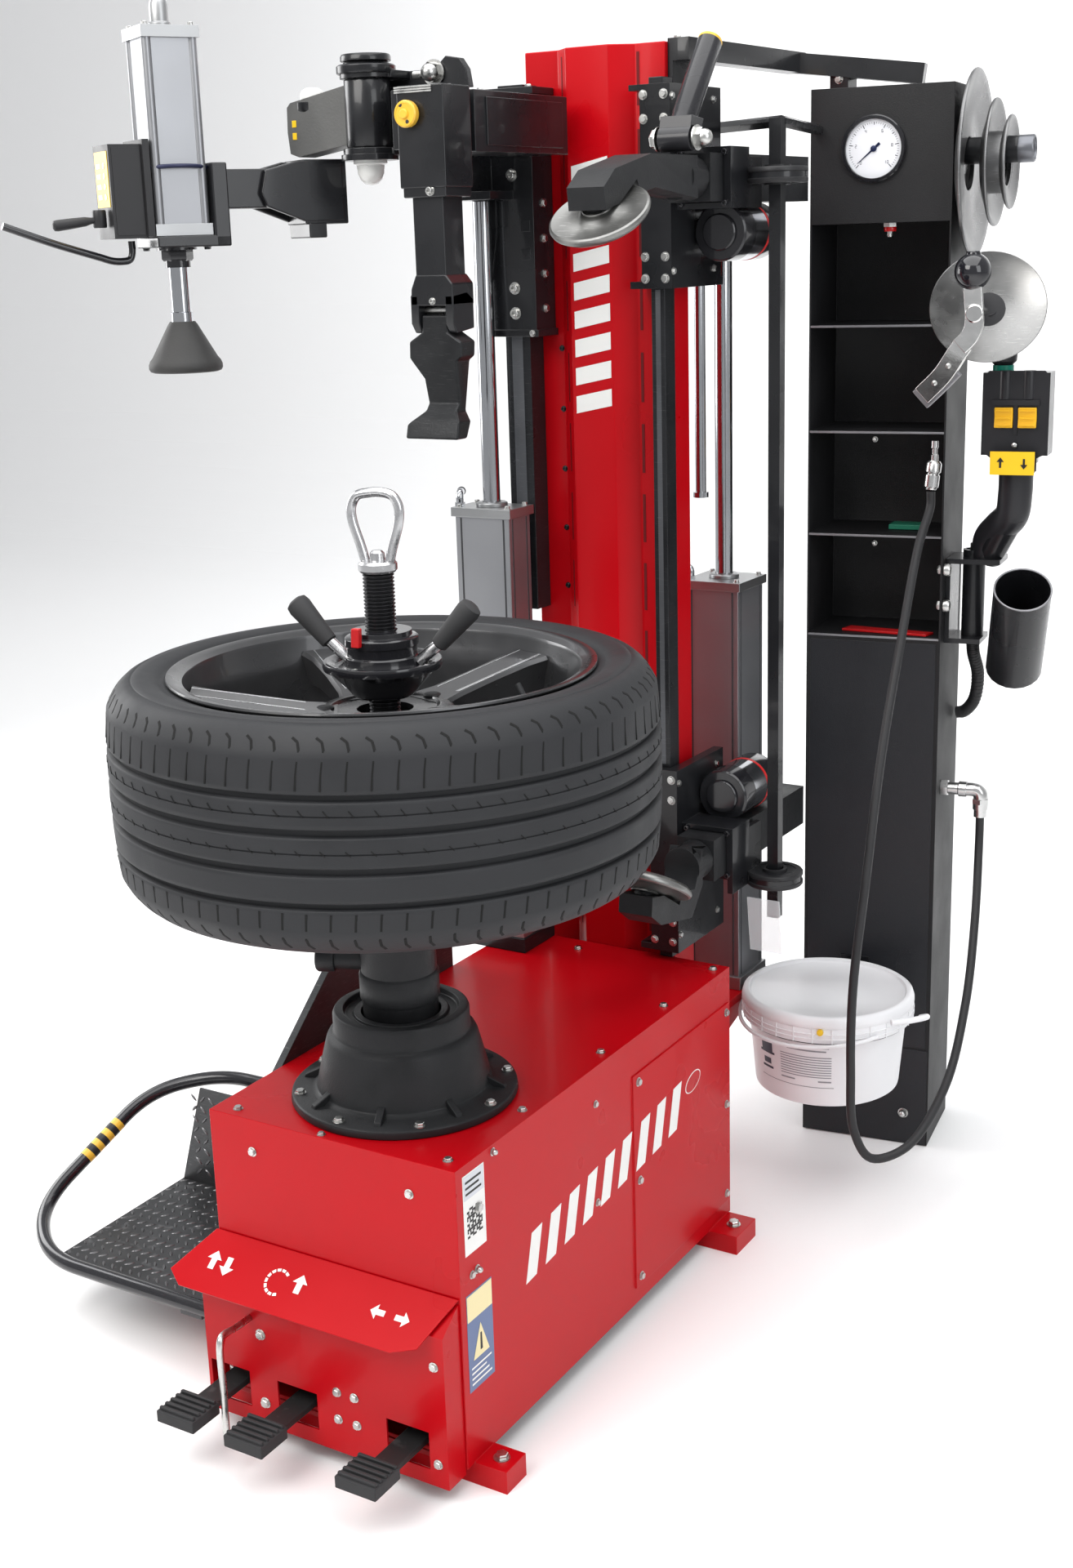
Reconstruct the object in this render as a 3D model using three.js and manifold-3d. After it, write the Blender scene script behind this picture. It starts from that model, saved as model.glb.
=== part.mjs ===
// Leverless tyre changer: red chassis, clamped wheel, column with two lifting
// carriages, bead press, bead discs, tool cabinet and wheel lift.
// Millimetres, +Z up. The spindle axis is x = 0, y = 0 and the floor is z = 0.
import * as THREE from "three";
import { mergeVertices } from "three/addons/utils/BufferGeometryUtils.js";
import Module from "manifold-3d";

const wasm = await Module();
wasm.setup();

// ---- driving sizes -------------------------------------------------------
const GAP = 0.3;
const CHASSIS = { x0: -200, x1: 190, y0: -168, y1: 607, z0: 34, z1: 454 };
const SHEET = 3;
const TYRE_R = 350;
const TYRE_W = 275;
const WHEEL_Z = 906;
const RIM_R = 254;
const SPINDLE_R = 50;
const SCREW_R = 20;
const COLUMN = { x0: -148, x1: 82, y0: 632, y1: 700, z0: 332.3, z1: 1811 };
const PEDAL_X = [-164, -51, 126];
const TOOL_X = -74;
const TOOL_Y = 278;
const HUB = [-195, 300];
const JOINT = [-292, 306];
const PRESS_REACH = 209;
const ARM_TURN = -120;
const ARM_X = 156;
const CABINET = { x: 150, y: 988, turn: 8, w: 222, d: 160, h: 1758 };
const SYNC = [232, 682];
const LIFT_PIVOT_Z = 262;

// ---- helpers ---------------------------------------------------------------
const rad = THREE.MathUtils.degToRad;
const V2 = (x, y) => new THREE.Vector2(x, y);
const V3 = (x, y, z) => new THREE.Vector3(x, y, z);

function solid(geometry) {
  const plain = geometry.clone();
  plain.deleteAttribute("normal");
  plain.deleteAttribute("uv");
  const merged = geometry.userData.welded ? plain : mergeVertices(plain, 1e-3);
  return new wasm.Manifold(
    new wasm.Mesh({
      numProp: 3,
      vertProperties: merged.attributes.position.array,
      triVerts: new Uint32Array(merged.index.array),
    }),
  );
}

function geometryOf(body) {
  const mesh = body.getMesh();
  const geometry = new THREE.BufferGeometry();
  geometry.setAttribute("position", new THREE.BufferAttribute(mesh.vertProperties, 3));
  geometry.setIndex(new THREE.BufferAttribute(mesh.triVerts, 1));
  geometry.userData.welded = true;
  return geometry;
}

function join(...pieces) {
  return geometryOf(pieces.map(solid).reduce((a, b) => a.add(b)));
}

function cut(from, ...tools) {
  return geometryOf(tools.map(solid).reduce((a, b) => a.subtract(b), solid(from)));
}

// A box from its two corners.
function box(x0, x1, y0, y1, z0, z1) {
  const g = new THREE.BoxGeometry(x1 - x0, y1 - y0, z1 - z0);
  return g.translate((x0 + x1) / 2, (y0 + y1) / 2, (z0 + z1) / 2);
}

// An upright rod between two heights.
function post(x, y, z0, z1, r, r2 = r, sides = 12) {
  const g = new THREE.CylinderGeometry(r2, r, z1 - z0, sides);
  return g.rotateX(Math.PI / 2).translate(x, y, (z0 + z1) / 2);
}

// A rod between any two points.
function rod(a, b, r, r2 = r, sides = 8) {
  const from = V3(...a);
  const way = V3(...b).sub(from);
  const g = new THREE.CylinderGeometry(r2, r, way.length(), sides);
  const turn = new THREE.Quaternion().setFromUnitVectors(V3(0, 1, 0), way.clone().normalize());
  return g.applyQuaternion(turn).translate(...from.addScaledVector(way, 0.5).toArray());
}

// A turned shape about +Z from [radius, height] pairs.
function turned(profile, sides = 20) {
  const g = new THREE.LatheGeometry(profile.map(([r, z]) => V2(r, z)), sides);
  return g.rotateX(Math.PI / 2);
}

// A flat shape from corner pairs, with a thickness along +Z.
function slab(corners, z0, z1, holes = []) {
  const shape = new THREE.Shape(corners.map(([x, y]) => V2(x, y)));
  for (const hole of holes) {
    shape.holes.push(new THREE.Path(hole.map(([x, y]) => V2(x, y))));
  }
  const g = new THREE.ExtrudeGeometry(shape, { depth: z1 - z0, bevelEnabled: false });
  return g.translate(0, 0, z0);
}

// A shape drawn in y and z, with a thickness along +X.
function sideSlab(corners, x0, x1) {
  const g = slab(corners, 0, x1 - x0);
  return g.rotateX(Math.PI / 2).rotateZ(Math.PI / 2).translate(x0, 0, 0);
}

// A shape drawn in x and z, with a thickness along +Y.
function frontSlab(corners, y0, y1) {
  const g = slab(corners, 0, y1 - y0);
  return g.rotateX(Math.PI / 2).translate(0, y1, 0);
}

// A bent round tube through points, with its corners rounded.
function bentTube(points, r, bend, steps, sides = 8) {
  const path = new THREE.CurvePath();
  const p = points.map((q) => V3(...q));
  let last = p[0];
  for (let i = 1; i < p.length - 1; i++) {
    const back = p[i - 1].clone().sub(p[i]);
    const on = p[i + 1].clone().sub(p[i]);
    const reach = Math.min(bend, back.length() / 2.1, on.length() / 2.1);
    const from = p[i].clone().addScaledVector(back.normalize(), reach);
    const to = p[i].clone().addScaledVector(on.normalize(), reach);
    path.add(new THREE.LineCurve3(last, from));
    path.add(new THREE.QuadraticBezierCurve3(from, p[i], to));
    last = to;
  }
  path.add(new THREE.LineCurve3(last, p[p.length - 1]));
  return sweep(path, r, steps, sides);
}

// A smooth hose through points.
function hose(points, r, steps, sides = 8) {
  const path = new THREE.CatmullRomCurve3(points.map((q) => V3(...q)), false, "centripetal");
  return sweep(path, r, steps, sides);
}

function sweep(path, r, steps, sides) {
  const ring = [];
  for (let i = 0; i < sides; i++) {
    const a = (i / sides) * Math.PI * 2;
    ring.push(V2(r * Math.cos(a), r * Math.sin(a)));
  }
  const options = { steps, extrudePath: path, bevelEnabled: false };
  return new THREE.ExtrudeGeometry(new THREE.Shape(ring), options);
}

const PAINT = {
  red: { color: 0xc8101a, roughness: 0.3, metalness: 0.1 },
  black: { color: 0x16181c, roughness: 0.4, metalness: 0.2 },
  cast: { color: 0x2a2d31, roughness: 0.6, metalness: 0.3 },
  grey: { color: 0x5b5e61, roughness: 0.5, metalness: 0.5 },
  steel: { color: 0xb9bcc0, roughness: 0.25, metalness: 1 },
  alu: { color: 0xc6cacf, roughness: 0.4, metalness: 0.9 },
  rubber: { color: 0x1c1d1e, roughness: 0.8, metalness: 0 },
  yellow: { color: 0xe8b21c, roughness: 0.45, metalness: 0 },
  white: { color: 0xf2f2ee, roughness: 0.45, metalness: 0 },
};

const machine = new THREE.Group();
machine.name = "tyre_changer";

function part(name, paint, geometry, parent = machine) {
  const mesh = new THREE.Mesh(geometry, new THREE.MeshStandardMaterial(PAINT[paint]));
  mesh.name = name;
  parent.add(mesh);
  return mesh;
}

// ---- chassis ---------------------------------------------------------------
const C = CHASSIS;
const FOOT_Y = [[-152, -104], [530, 600]];
const chassisBox = cut(
  box(C.x0, C.x1, C.y0, C.y1, C.z0, C.z1),
  box(C.x0 + SHEET, C.x1 - SHEET, C.y0 + SHEET, C.y1 - SHEET, C.z0 - 10, C.z1 - 4),
  post(0, 0, C.z1 - 20, C.z1 + 10, SPINDLE_R + 8, SPINDLE_R + 8, 24),
  box(PEDAL_X[0] - 40, PEDAL_X[2] + 40, C.y0 - 5, C.y0 + 10, 42, 112),
);
const feet = FOOT_Y.map(([y0, y1]) => box(C.x0 - 46, C.x1 + 48, y0, y1, 0, C.z0 + 2));
const accessPanel = box(C.x1 - 1, C.x1 + 2.6, 285, 600, 60, 398);
part("chassis_shell", "red", join(chassisBox, accessPanel, ...feet));

const housing = sideSlab([[-168.3, 26], [-207, 26], [-207, 243], [-168.3, 272]], -203, 187);
const housingRoom = sideSlab([[-160, 15], [-204, 15], [-204, 240], [-160, 273]], -200, 184);
const slots = PEDAL_X.map((x) => box(x - 33, x + 33, -215, -195, 48, 102));
const guard = [[-124, -205, 184], [-108, -285, 200], [-108, -285, 42], [-108, -258, 33]];
part("pedal_housing", "red", join(
  cut(housing, housingRoom, ...slots),
  bentTube(guard, 4, 14, 14, 6),
));

const awning = slab(
  [[-201, 0], [188, 0], [162, -74], [128, -88], [-215, -88], [-240, -70]], 0, 2.5,
);
part("pedal_cover", "red", awning.rotateX(rad(38)).translate(0, -168.6, 277.5));

for (let i = 0; i < PEDAL_X.length; i++) {
  const x = PEDAL_X[i];
  const arm = box(x - 18, x + 18, -285, -104, 68, 80);
  const pad = box(x - 31, x + 31, -322, -268, 72, 94);
  const boss = rod([x - 22, -108, 74], [x + 22, -108, 74], 11);
  part("pedal_" + (i + 1), "rubber", join(arm, pad, boss));
}

const motor = rod([20, 180, 200], [20, 420, 200], 78, 78, 20);
const gearCase = cut(
  join(box(-95, 105, -95, 175, 120, 300), motor, box(-20, 60, 170, 200, 150, 250)),
  post(0, 0, 180, 320, SPINDLE_R + 0.6, SPINDLE_R + 0.6, 24),
);
part("drive_unit", "cast", gearCase);

const bellProfile = [
  [SPINDLE_R + 2, 454.3], [151, 454.3], [151, 463], [117, 468], [99, 540],
  [91, 547], [89, 578], [SPINDLE_R + 2, 578], [SPINDLE_R + 2, 454.3],
];
const ribs = [0, 60, 120, 180, 240, 300].map((a) =>
  box(95, 140, -7, 7, 460, 486).rotateZ(rad(a + 20)),
);
part("bell_housing", "cast", join(turned(bellProfile), ...ribs));

// ---- spindle and clamped wheel ---------------------------------------------
const SPINDLE_TOP = 930;
const tubeProfile = [
  [SCREW_R + 4, 190], [SPINDLE_R, 190], [SPINDLE_R, 590], [SPINDLE_R + 3, 594],
  [SPINDLE_R + 3, 626], [SPINDLE_R, 630], [SPINDLE_R, SPINDLE_TOP], [SCREW_R + 4, SPINDLE_TOP],
  [SCREW_R + 4, 190],
];
const plateProfile = [
  [SCREW_R + 1, SPINDLE_TOP - 1], [105, SPINDLE_TOP - 1], [108, SPINDLE_TOP + 6],
  [108, 948], [SCREW_R + 1, 948], [SCREW_R + 1, SPINDLE_TOP - 1],
];
part("spindle_tube", "cast", join(
  turned(tubeProfile, 24),
  rod([-40, -16, 642], [-102, -42, 642], 17, 19),
  turned(plateProfile, 24),
));

const half = TYRE_W / 2;
const tyreProfile = [
  [RIM_R + 2.5, WHEEL_Z - half + 16], [RIM_R + 22, WHEEL_Z - half + 8],
  [RIM_R + 50, WHEEL_Z - half], [TYRE_R - 18, WHEEL_Z - half + 11],
  [TYRE_R - 4, WHEEL_Z - half + 34], [TYRE_R, WHEEL_Z], [TYRE_R - 4, WHEEL_Z + half - 34],
  [TYRE_R - 18, WHEEL_Z + half - 11], [RIM_R + 50, WHEEL_Z + half],
  [RIM_R + 22, WHEEL_Z + half - 8], [RIM_R + 2.5, WHEEL_Z + half - 16],
  [RIM_R + 2.5, WHEEL_Z - half + 16],
];
part("tyre", "rubber", turned(tyreProfile, 36));

const barrelProfile = [
  [RIM_R - 14, WHEEL_Z - 122], [RIM_R + 2, WHEEL_Z - 122], [RIM_R + 2, WHEEL_Z + 124],
  [RIM_R + 17, WHEEL_Z + 130], [RIM_R + 17, WHEEL_Z + 135], [RIM_R - 6, WHEEL_Z + 124],
  [RIM_R - 14, WHEEL_Z - 122],
];
const hubDisc = turned([
  [36, 948.4], [88, 948.4], [92, 978], [64, 984], [36, 984], [36, 948.4],
], 24);
const spokes = [];
for (let i = 0; i < 5; i++) {
  const spoke = sideSlab([[60, 955], [250, 970], [250, 1014], [60, 983]], -29, 29);
  spokes.push(spoke.rotateZ(rad(72 * i - 90)));
}
const barrel = turned(barrelProfile, 36);
part("rim", "grey", barrel);
const barrelRoom = turned([
  [RIM_R - 7, WHEEL_Z + 125], [RIM_R - 14.4, WHEEL_Z - 122], [RIM_R + 60, WHEEL_Z - 122],
  [RIM_R + 60, WHEEL_Z + 125], [RIM_R - 7, WHEEL_Z + 125],
], 36);
part("rim_centre", "grey", cut(join(hubDisc, ...spokes), barrelRoom));

const loopOuter = [
  [-14, 1178], [14, 1178], [22, 1188], [38, 1225], [36, 1246], [22, 1261],
  [-22, 1261], [-36, 1246], [-38, 1225], [-22, 1188],
];
const loopInner = [[-9, 1194], [9, 1194], [26, 1228], [24, 1242], [17, 1249], [-17, 1249],
  [-24, 1242], [-26, 1228]];
const loop = slab(loopOuter, -6, 6, [loopInner]).rotateX(Math.PI / 2).rotateZ(rad(10));
const collar = post(0, 0, 1158, 1182, 24, 20);
const screw = post(0, 0, 800, 1160, SCREW_R, SCREW_R, 24);
part("clamp_screw", "steel", join(screw, collar, loop));

const nutProfile = [
  [SCREW_R + 0.6, 1000], [38, 1000], [52, 1016], [72, 1030], [74, 1046], [56, 1052],
  [52, 1066], [40, 1072], [38, 1084], [SCREW_R + 0.6, 1084], [SCREW_R + 0.6, 1000],
];
const grips = [[-0.9, -0.15], [0.86, 0.3]].map(([cx, cy]) =>
  join(
    rod([cx * 50, cy * 50, 1044], [cx * 82, cy * 82, 1066], 9),
    rod([cx * 80, cy * 80, 1064], [cx * 132, cy * 132, 1116], 12, 16),
  ),
);
part("clamp_nut", "black", join(turned(nutProfile, 20), ...grips));
part("nut_button", "red", box(-9, 5, -56, -40.4, 1073, 1094));

// ---- column ----------------------------------------------------------------
const K = COLUMN;
const bulge = [
  [K.x0, K.y1], [K.x0, K.y0], [-92, K.y0], [-66, K.y0 - 24], [4, K.y0 - 24],
  [34, K.y0], [K.x1, K.y0], [K.x1, K.y1],
];
const bulgeRoom = [
  [K.x0 + 4, K.y1 - 4], [K.x0 + 4, K.y0 + 4], [-90, K.y0 + 4], [-64, K.y0 - 20],
  [2, K.y0 - 20], [32, K.y0 + 4], [K.x1 - 4, K.y0 + 4], [K.x1 - 4, K.y1 - 4],
];
part("column", "red", slab(bulge, K.z0, K.z1, [bulgeRoom]));
part("column_base", "red", join(
  box(-150, 122, C.y1 + GAP, 902, 318, 332),
  box(-150, 122, C.y1 + GAP, 612, 240, 332),
  sideSlab([[610, 240], [610, 320], [880, 320]], -146, -140),
  sideSlab([[610, 240], [610, 320], [880, 320]], 114, 120),
));
const RAIL_L = [-172, -129, 592, K.y0 - GAP];
const RAIL_R = [72, 94, 600, K.y0 - GAP];
part("rail_left", "black", box(...RAIL_L, 996, 1765));
part("rail_right", "black", box(...RAIL_R, 455, 1762));

// A square-profile air cylinder, open at the top for its rod.
function liftCylinder(x0, x1, y0, y1, z0, z1, bore, rodR) {
  const cx = (x0 + x1) / 2;
  const cy = (y0 + y1) / 2;
  const body = join(
    box(x0 + 4, x1 - 4, y0 + 4, y1 - 4, z0, z1),
    box(x0, x1, y0, y1, z0, z0 + 22),
    box(x0, x1, y0, y1, z1 - 14, z1),
    post(cx, cy, z1 - 2, z1 + 6, rodR + 8),
  );
  return cut(
    body,
    post(cx, cy, z0 + 24, z1 - 14, bore, bore, 16),
    post(cx, cy, z1 - 20, z1 + 10, rodR + 0.6, rodR + 0.6, 16),
  );
}
const LEFT_ROD = [-180, 550];
const RIGHT_ROD = [67, 848];
part("cylinder_left", "alu", join(
  liftCylinder(-233, -127, 515, 585, 478, 1160, 27, 13),
  box(-236, -124, 512, 606, 454.3, 480),
  box(-210, -150, 584, 631, 454.3, 560),
));
part("cylinder_right", "alu", liftCylinder(16, 118, 797, 899, 332.3, 1018, 40, 14));

// ---- left carriage with tool head -------------------------------------------
const railSpaceL = box(RAIL_L[0] - 0.5, RAIL_L[1] + 0.5, RAIL_L[2] - 0.5, 640, 1300, 1900);
const hubPlate = (z0) => join(
  post(HUB[0], HUB[1], z0, z0 + 10, 36),
  box(HUB[0] - 34, HUB[0] + 40, HUB[1], 372, z0, z0 + 10),
);
const gusset = sideSlab(
  [[586, 1616], [586, 1755], [372, 1755], [372, 1700], [470, 1696], [500, 1675], [514, 1640],
    [516, 1616]],
  -192, -176,
);
const leftCarriage = cut(
  join(
    box(-190, -106, 574, 631, 1418, 1756),
    box(-215, -100, 570, 631, 1750, 1760),
    box(-196, -102, 572, 631, 1410, 1420),
    box(-216, -140, 512, 588, 1606, 1618),
    post(LEFT_ROD[0], LEFT_ROD[1], 1100, 1610, 13, 13, 16),
    post(LEFT_ROD[0], LEFT_ROD[1], 1100, 1125, 25, 25, 16),
    gusset,
    box(-130, -46, 332, 576, 1664, 1742),
    box(-200, -126, 345, 380, 1664, 1772),
    hubPlate(1762),
    hubPlate(1664),
    post(HUB[0], HUB[1], 1771, 1784, 34, 30),
    box(-130, -114, 262, 340, 1668, 1742),
  ),
  railSpaceL,
);
part("left_carriage", "black", leftCarriage);

const sleeve = join(
  box(TOOL_X - 36, TOOL_X + 36, TOOL_Y - 33, TOOL_Y + 33, 1606, 1745),
  box(TOOL_X - 24, TOOL_X + 24, TOOL_Y - 24, TOOL_Y + 24, 1500, 1610),
  box(TOOL_X - 33, TOOL_X + 33, TOOL_Y - 24, TOOL_Y + 26, 1468, 1504),
  box(TOOL_X - 33, TOOL_X - 21, TOOL_Y - 24, TOOL_Y + 26, 1437, 1470),
  box(TOOL_X + 21, TOOL_X + 33, TOOL_Y - 24, TOOL_Y + 26, 1437, 1470),
);
part("tool_sleeve", "black", sleeve);
const hookSide = [
  [TOOL_Y - 20, 1456], [TOOL_Y - 22, 1396], [TOOL_Y - 12, 1340], [TOOL_Y - 34, 1316],
  [TOOL_Y - 40, 1294], [TOOL_Y - 14, 1294], [TOOL_Y + 4, 1330], [TOOL_Y + 12, 1396],
  [TOOL_Y + 18, 1456],
];
const hookTaper = frontSlab(
  [[TOOL_X - 20.5, 1460], [TOOL_X - 20.5, 1434], [TOOL_X - 42, 1421], [TOOL_X - 42, 1400],
    [TOOL_X - 22, 1372], [TOOL_X - 20, 1330], [TOOL_X - 42, 1312], [TOOL_X - 42, 1290],
    [TOOL_X + 42, 1290], [TOOL_X + 42, 1316], [TOOL_X + 30, 1330], [TOOL_X + 34, 1396],
    [TOOL_X + 42, 1402], [TOOL_X + 42, 1421], [TOOL_X + 20.5, 1434], [TOOL_X + 20.5, 1460]],
  TOOL_Y - 60, TOOL_Y + 60,
);
const hookBlock = solid(sideSlab(hookSide, TOOL_X - 50, TOOL_X + 50)).intersect(solid(hookTaper));
part("tool_hook", "cast", geometryOf(hookBlock));
part("tool_knob", "yellow", rod([-90, 244.6, 1710], [-90, 232, 1710], 17, 15, 20));

// ---- swinging bead press -----------------------------------------------------
const linkPlate = frontSlab(
  [[-196, 1758], [-196, 1680], [-318, 1664], [-318, 1736]], 284, 322,
);
part("swing_link", "grey", join(
  post(HUB[0], HUB[1], 1674.5, 1761.5, 31, 31, 24),
  linkPlate,
  post(JOINT[0], JOINT[1], 1738, 1752, 15),
  post(JOINT[0], JOINT[1], 1725, 1742, 20),
));

const arm = new THREE.Group();
arm.position.set(JOINT[0], JOINT[1], 0);
arm.rotation.z = rad(ARM_TURN);
machine.add(arm);
const P = PRESS_REACH;
part("swing_arm", "black", join(
  box(-32, 34, -36, 36, 1578, 1663.4),
  box(20, P - 44, -25, 25, 1601, 1652),
  box(P - 62, P - 40, -46, 46, 1553, 1660),
  box(P - 62, P + 40.4, -46, 46, 1553, 1567.5),
  post(P, 0, 1530, 1556, 23, 23, 6),
), arm);
arm.children[0].geometry = cut(
  arm.children[0].geometry,
  post(P, 0, 1520, 1570, 13.6, 13.6, 16),
);
const pressBody = cut(
  join(
    box(P - 37, P + 37, -37, 37, 1568, 1820),
    box(P - 39.5, P + 39.5, -39.5, 39.5, 1568, 1582),
    box(P - 39.5, P + 39.5, -39.5, 39.5, 1816, 1830),
    post(P, 0, 1828, 1864, 12.5),
  ),
  post(P, 0, 1590, 1812, 30, 30, 16),
  post(P, 0, 1560, 1595, 13.6, 13.6, 16),
);
part("press_cylinder", "alu", pressBody, arm);
const reach = [[P + 56, -20, 1570], [P + 56, -20, 1537], [P + 84, -20, 1537], [P + 226, -20, 1586]];
part("press_control", "black", join(
  box(P + 41, P + 50, -40, 40, 1568, 1690),
  box(P + 48, P + 94, -33, 33, 1564, 1684),
  bentTube(reach, 5, 16, 12, 6),
), arm);
part("press_lever", "rubber", join(
  post(P + 105, 8, 1580, 1603, 9),
  rod([P + 105, 8, 1591], [P + 168, 8, 1584], 6, 7),
), arm);
part("press_rod", "steel", join(
  post(P, 0, 1452, 1700, 13, 13, 16),
  post(P, 0, 1690, 1705, 29, 29, 16),
), arm);
const pressConeProfile = [[0, 1389], [44, 1389], [50, 1394], [50, 1402], [18, 1456], [0, 1456]];
const cone = cut(turned(pressConeProfile, 20), post(0, 0, 1440, 1470, 13.4, 13.4, 16));
part("press_cone", "rubber", cone.translate(P, 0, 0), arm);
arm.children[arm.children.length - 2].geometry = join(
  post(P, 0, 1440.4, 1700, 13, 13, 16),
  post(P, 0, 1690, 1705, 29, 29, 16),
);

// ---- right carriages with bead discs -----------------------------------------
const railSpaceR = box(RAIL_R[0] - 0.5, RAIL_R[1] + 0.5, RAIL_R[2] - 0.5, 640, 0, 1900);
const TILT = 32;

// A saucer about +Z with a small boss.
function saucer() {
  return turned([
    [0, -6], [50, -8], [66, -1], [67.5, 4], [64, 8], [40, 6], [24, 12], [0, 12],
  ], 20);
}

function discArm(y, z, up, discY, discZ) {
  const beam = box(ARM_X - 31, ARM_X + 31, y, y + 335, z, z + 64);
  const collarRod = rod([ARM_X, y - 46, z + 32], [ARM_X, y + 8, z + 32], 30, 30, 18);
  const neck = sideSlab(
    [[y - 30, z + 32 - up * 28], [y - 30, z + 32 + up * 28], [discY + 90, discZ + up * 78],
      [discY - 8, discZ + up * 58], [discY - 38, discZ + up * 36], [discY - 34, discZ + up * 8],
      [discY + 100, discZ + up * 36]],
    ARM_X - 27, ARM_X + 27,
  );
  return [beam, collarRod, neck];
}
const UPPER = { y: 560, z: 1592, discY: 306, discZ: 1574 };
const LOWER = { y: 560, z: 607, discY: 404, discZ: 648 };

function carriage(z0, z1, armZ, pulleyZ, motorZ) {
  const guide = cut(
    box(113, 199, 600, 660, armZ - 9, armZ + 73),
    box(ARM_X - 32, ARM_X + 32, 590, 670, armZ - 1, armZ + 65),
  );
  return cut(
    join(
      box(66, 112, 584, 599, z0, z1),
      box(97, 113.5, 584, 745, z0, z1),
      box(49, 113, 584, 628, z1 - 8, z1),
      box(47, 113, 584, 628, z0, z0 + 10),
      guide,
      box(190, SYNC[0], 655, SYNC[1] + 20, pulleyZ, pulleyZ + 20),
      box(190, 199, 600, SYNC[1] + 20, Math.min(armZ - 9, pulleyZ), armZ + 60),
      post(SYNC[0], SYNC[1], pulleyZ, pulleyZ + 20, 42, 42, 24),
      rod([ARM_X, 655, motorZ], [ARM_X, 775, motorZ], 40, 40, 20),
    ),
    railSpaceR,
    box(SYNC[0] - 9.6, SYNC[0] + 9.6, SYNC[1] - 9.6, SYNC[1] + 9.6, pulleyZ - 5, pulleyZ + 25),
  );
}
part("upper_carriage", "black", join(
  carriage(1476, 1752, UPPER.z, 1616, 1551),
  box(50, 113, 740, 868, 1574, 1590),
  post(RIGHT_ROD[0], RIGHT_ROD[1], 985, 1580, 14, 14, 16),
  post(RIGHT_ROD[0], RIGHT_ROD[1], 975, 996, 38, 38, 16),
  box(70, 113, 728, 752, 1476, 1488),
  post(80, 740, 1165, 1480, 8, 8, 12),
));
part("lower_carriage", "black", carriage(470, 765, LOWER.z, 576, 713));

function discTurn(geometry, up, y, z) {
  const g = geometry.rotateX(rad(up > 0 ? TILT : 180 - TILT));
  return g.translate(ARM_X, y, z);
}
function armWith(a, up, name) {
  const pin = discTurn(post(0, 0, 10, 40, 15), up, a.discY, a.discZ);
  const room = discTurn(post(0, 0, -30, 12.4, 72, 72, 24), up, a.discY, a.discZ);
  part(name, "black", cut(join(...discArm(a.y, a.z, up, a.discY, a.discZ), pin), room));
}
armWith(UPPER, 1, "upper_arm");
part("upper_disc", "grey", discTurn(saucer(), 1, UPPER.discY, UPPER.discZ));
armWith(LOWER, -1, "lower_arm");
part("lower_disc", "grey", discTurn(saucer(), -1, LOWER.discY, LOWER.discZ));

part("disc_handle", "black", join(
  rod([ARM_X - 24, 525, 1674.5], [ARM_X + 24, 525, 1674.5], 17, 17, 16),
  sideSlab([[512, 1674], [541, 1674], [556, 1700], [520, 1704]], ARM_X - 24, ARM_X + 24),
  rod([ARM_X, 534, 1690], [ARM_X, 626, 1806], 17, 17, 16),
));

// ---- cabinet -------------------------------------------------------------------
const cab = new THREE.Group();
cab.position.set(CABINET.x, CABINET.y, 0);
cab.rotation.z = rad(CABINET.turn);
machine.add(cab);
const W = CABINET.w;
const D = CABINET.d;
const SHELF_Z = [904, 1070, 1235, 1400, 1557];
const bays = [];
for (let i = 0; i < SHELF_Z.length - 1; i++) {
  bays.push(box(3, W - 3, -5, D - 3, SHELF_Z[i] + 3, SHELF_Z[i + 1]));
}
const GAUGE = [100, 1667];
const PEG = [80, 1660];
const BUCKET = [91, -184];
const BUCKET_Z = 198;
const bucketRing = turned([[131, 115], [135, 115], [135, 137], [131, 137], [131, 115]], 24);
const cabinetShell = cut(
  box(0, W, 0, D, 8, CABINET.h),
  ...bays,
  box(3, W - 3, 3, D - 3, -10, 900),
  box(3, W - 3, 3, D - 3, 1560, CABINET.h - 3),
  rod([GAUGE[0], -10, GAUGE[1]], [GAUGE[0], 20, GAUGE[1]], 44.4, 44.4, 24),
);
part("cabinet_shell", "black", cabinetShell, cab);
part("cone_peg", "black", rod([W + GAP, PEG[0], PEG[1]], [330, PEG[0], PEG[1]], 20, 20, 16), cab);
part("air_elbow", "steel", join(
  rod([W + GAP, 40, 648], [W + 66, 40, 648], 9, 9, 12),
  rod([W + 66, 40, 656], [W + 66, 40, 614], 10, 10, 12),
), cab);
part("bucket_ring", "black", join(
  bucketRing.translate(...BUCKET, BUCKET_Z),
  box(BUCKET[0] - 20, BUCKET[0] + 20, BUCKET[1] + 132, -GAP, BUCKET_Z + 111, BUCKET_Z + 137),
), cab);

const gauge = cut(
  join(
    rod([GAUGE[0], -7, GAUGE[1]], [GAUGE[0], -GAP, GAUGE[1]], 50, 50, 24),
    rod([GAUGE[0], -2, GAUGE[1]], [GAUGE[0], 38, GAUGE[1]], 43.5, 43.5, 24),
  ),
  rod([GAUGE[0], -10, GAUGE[1]], [GAUGE[0], -1, GAUGE[1]], 45, 45, 24),
);
part("gauge", "white", gauge, cab);
part("gauge_needle", "black", join(
  rod([GAUGE[0], -1.3, GAUGE[1]], [GAUGE[0], -4, GAUGE[1]], 4, 4, 12),
  box(-1.2, 1.2, -3, -1.6, -12, 32).rotateY(rad(-130)).translate(GAUGE[0], 0, GAUGE[1]),
), cab);

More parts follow.
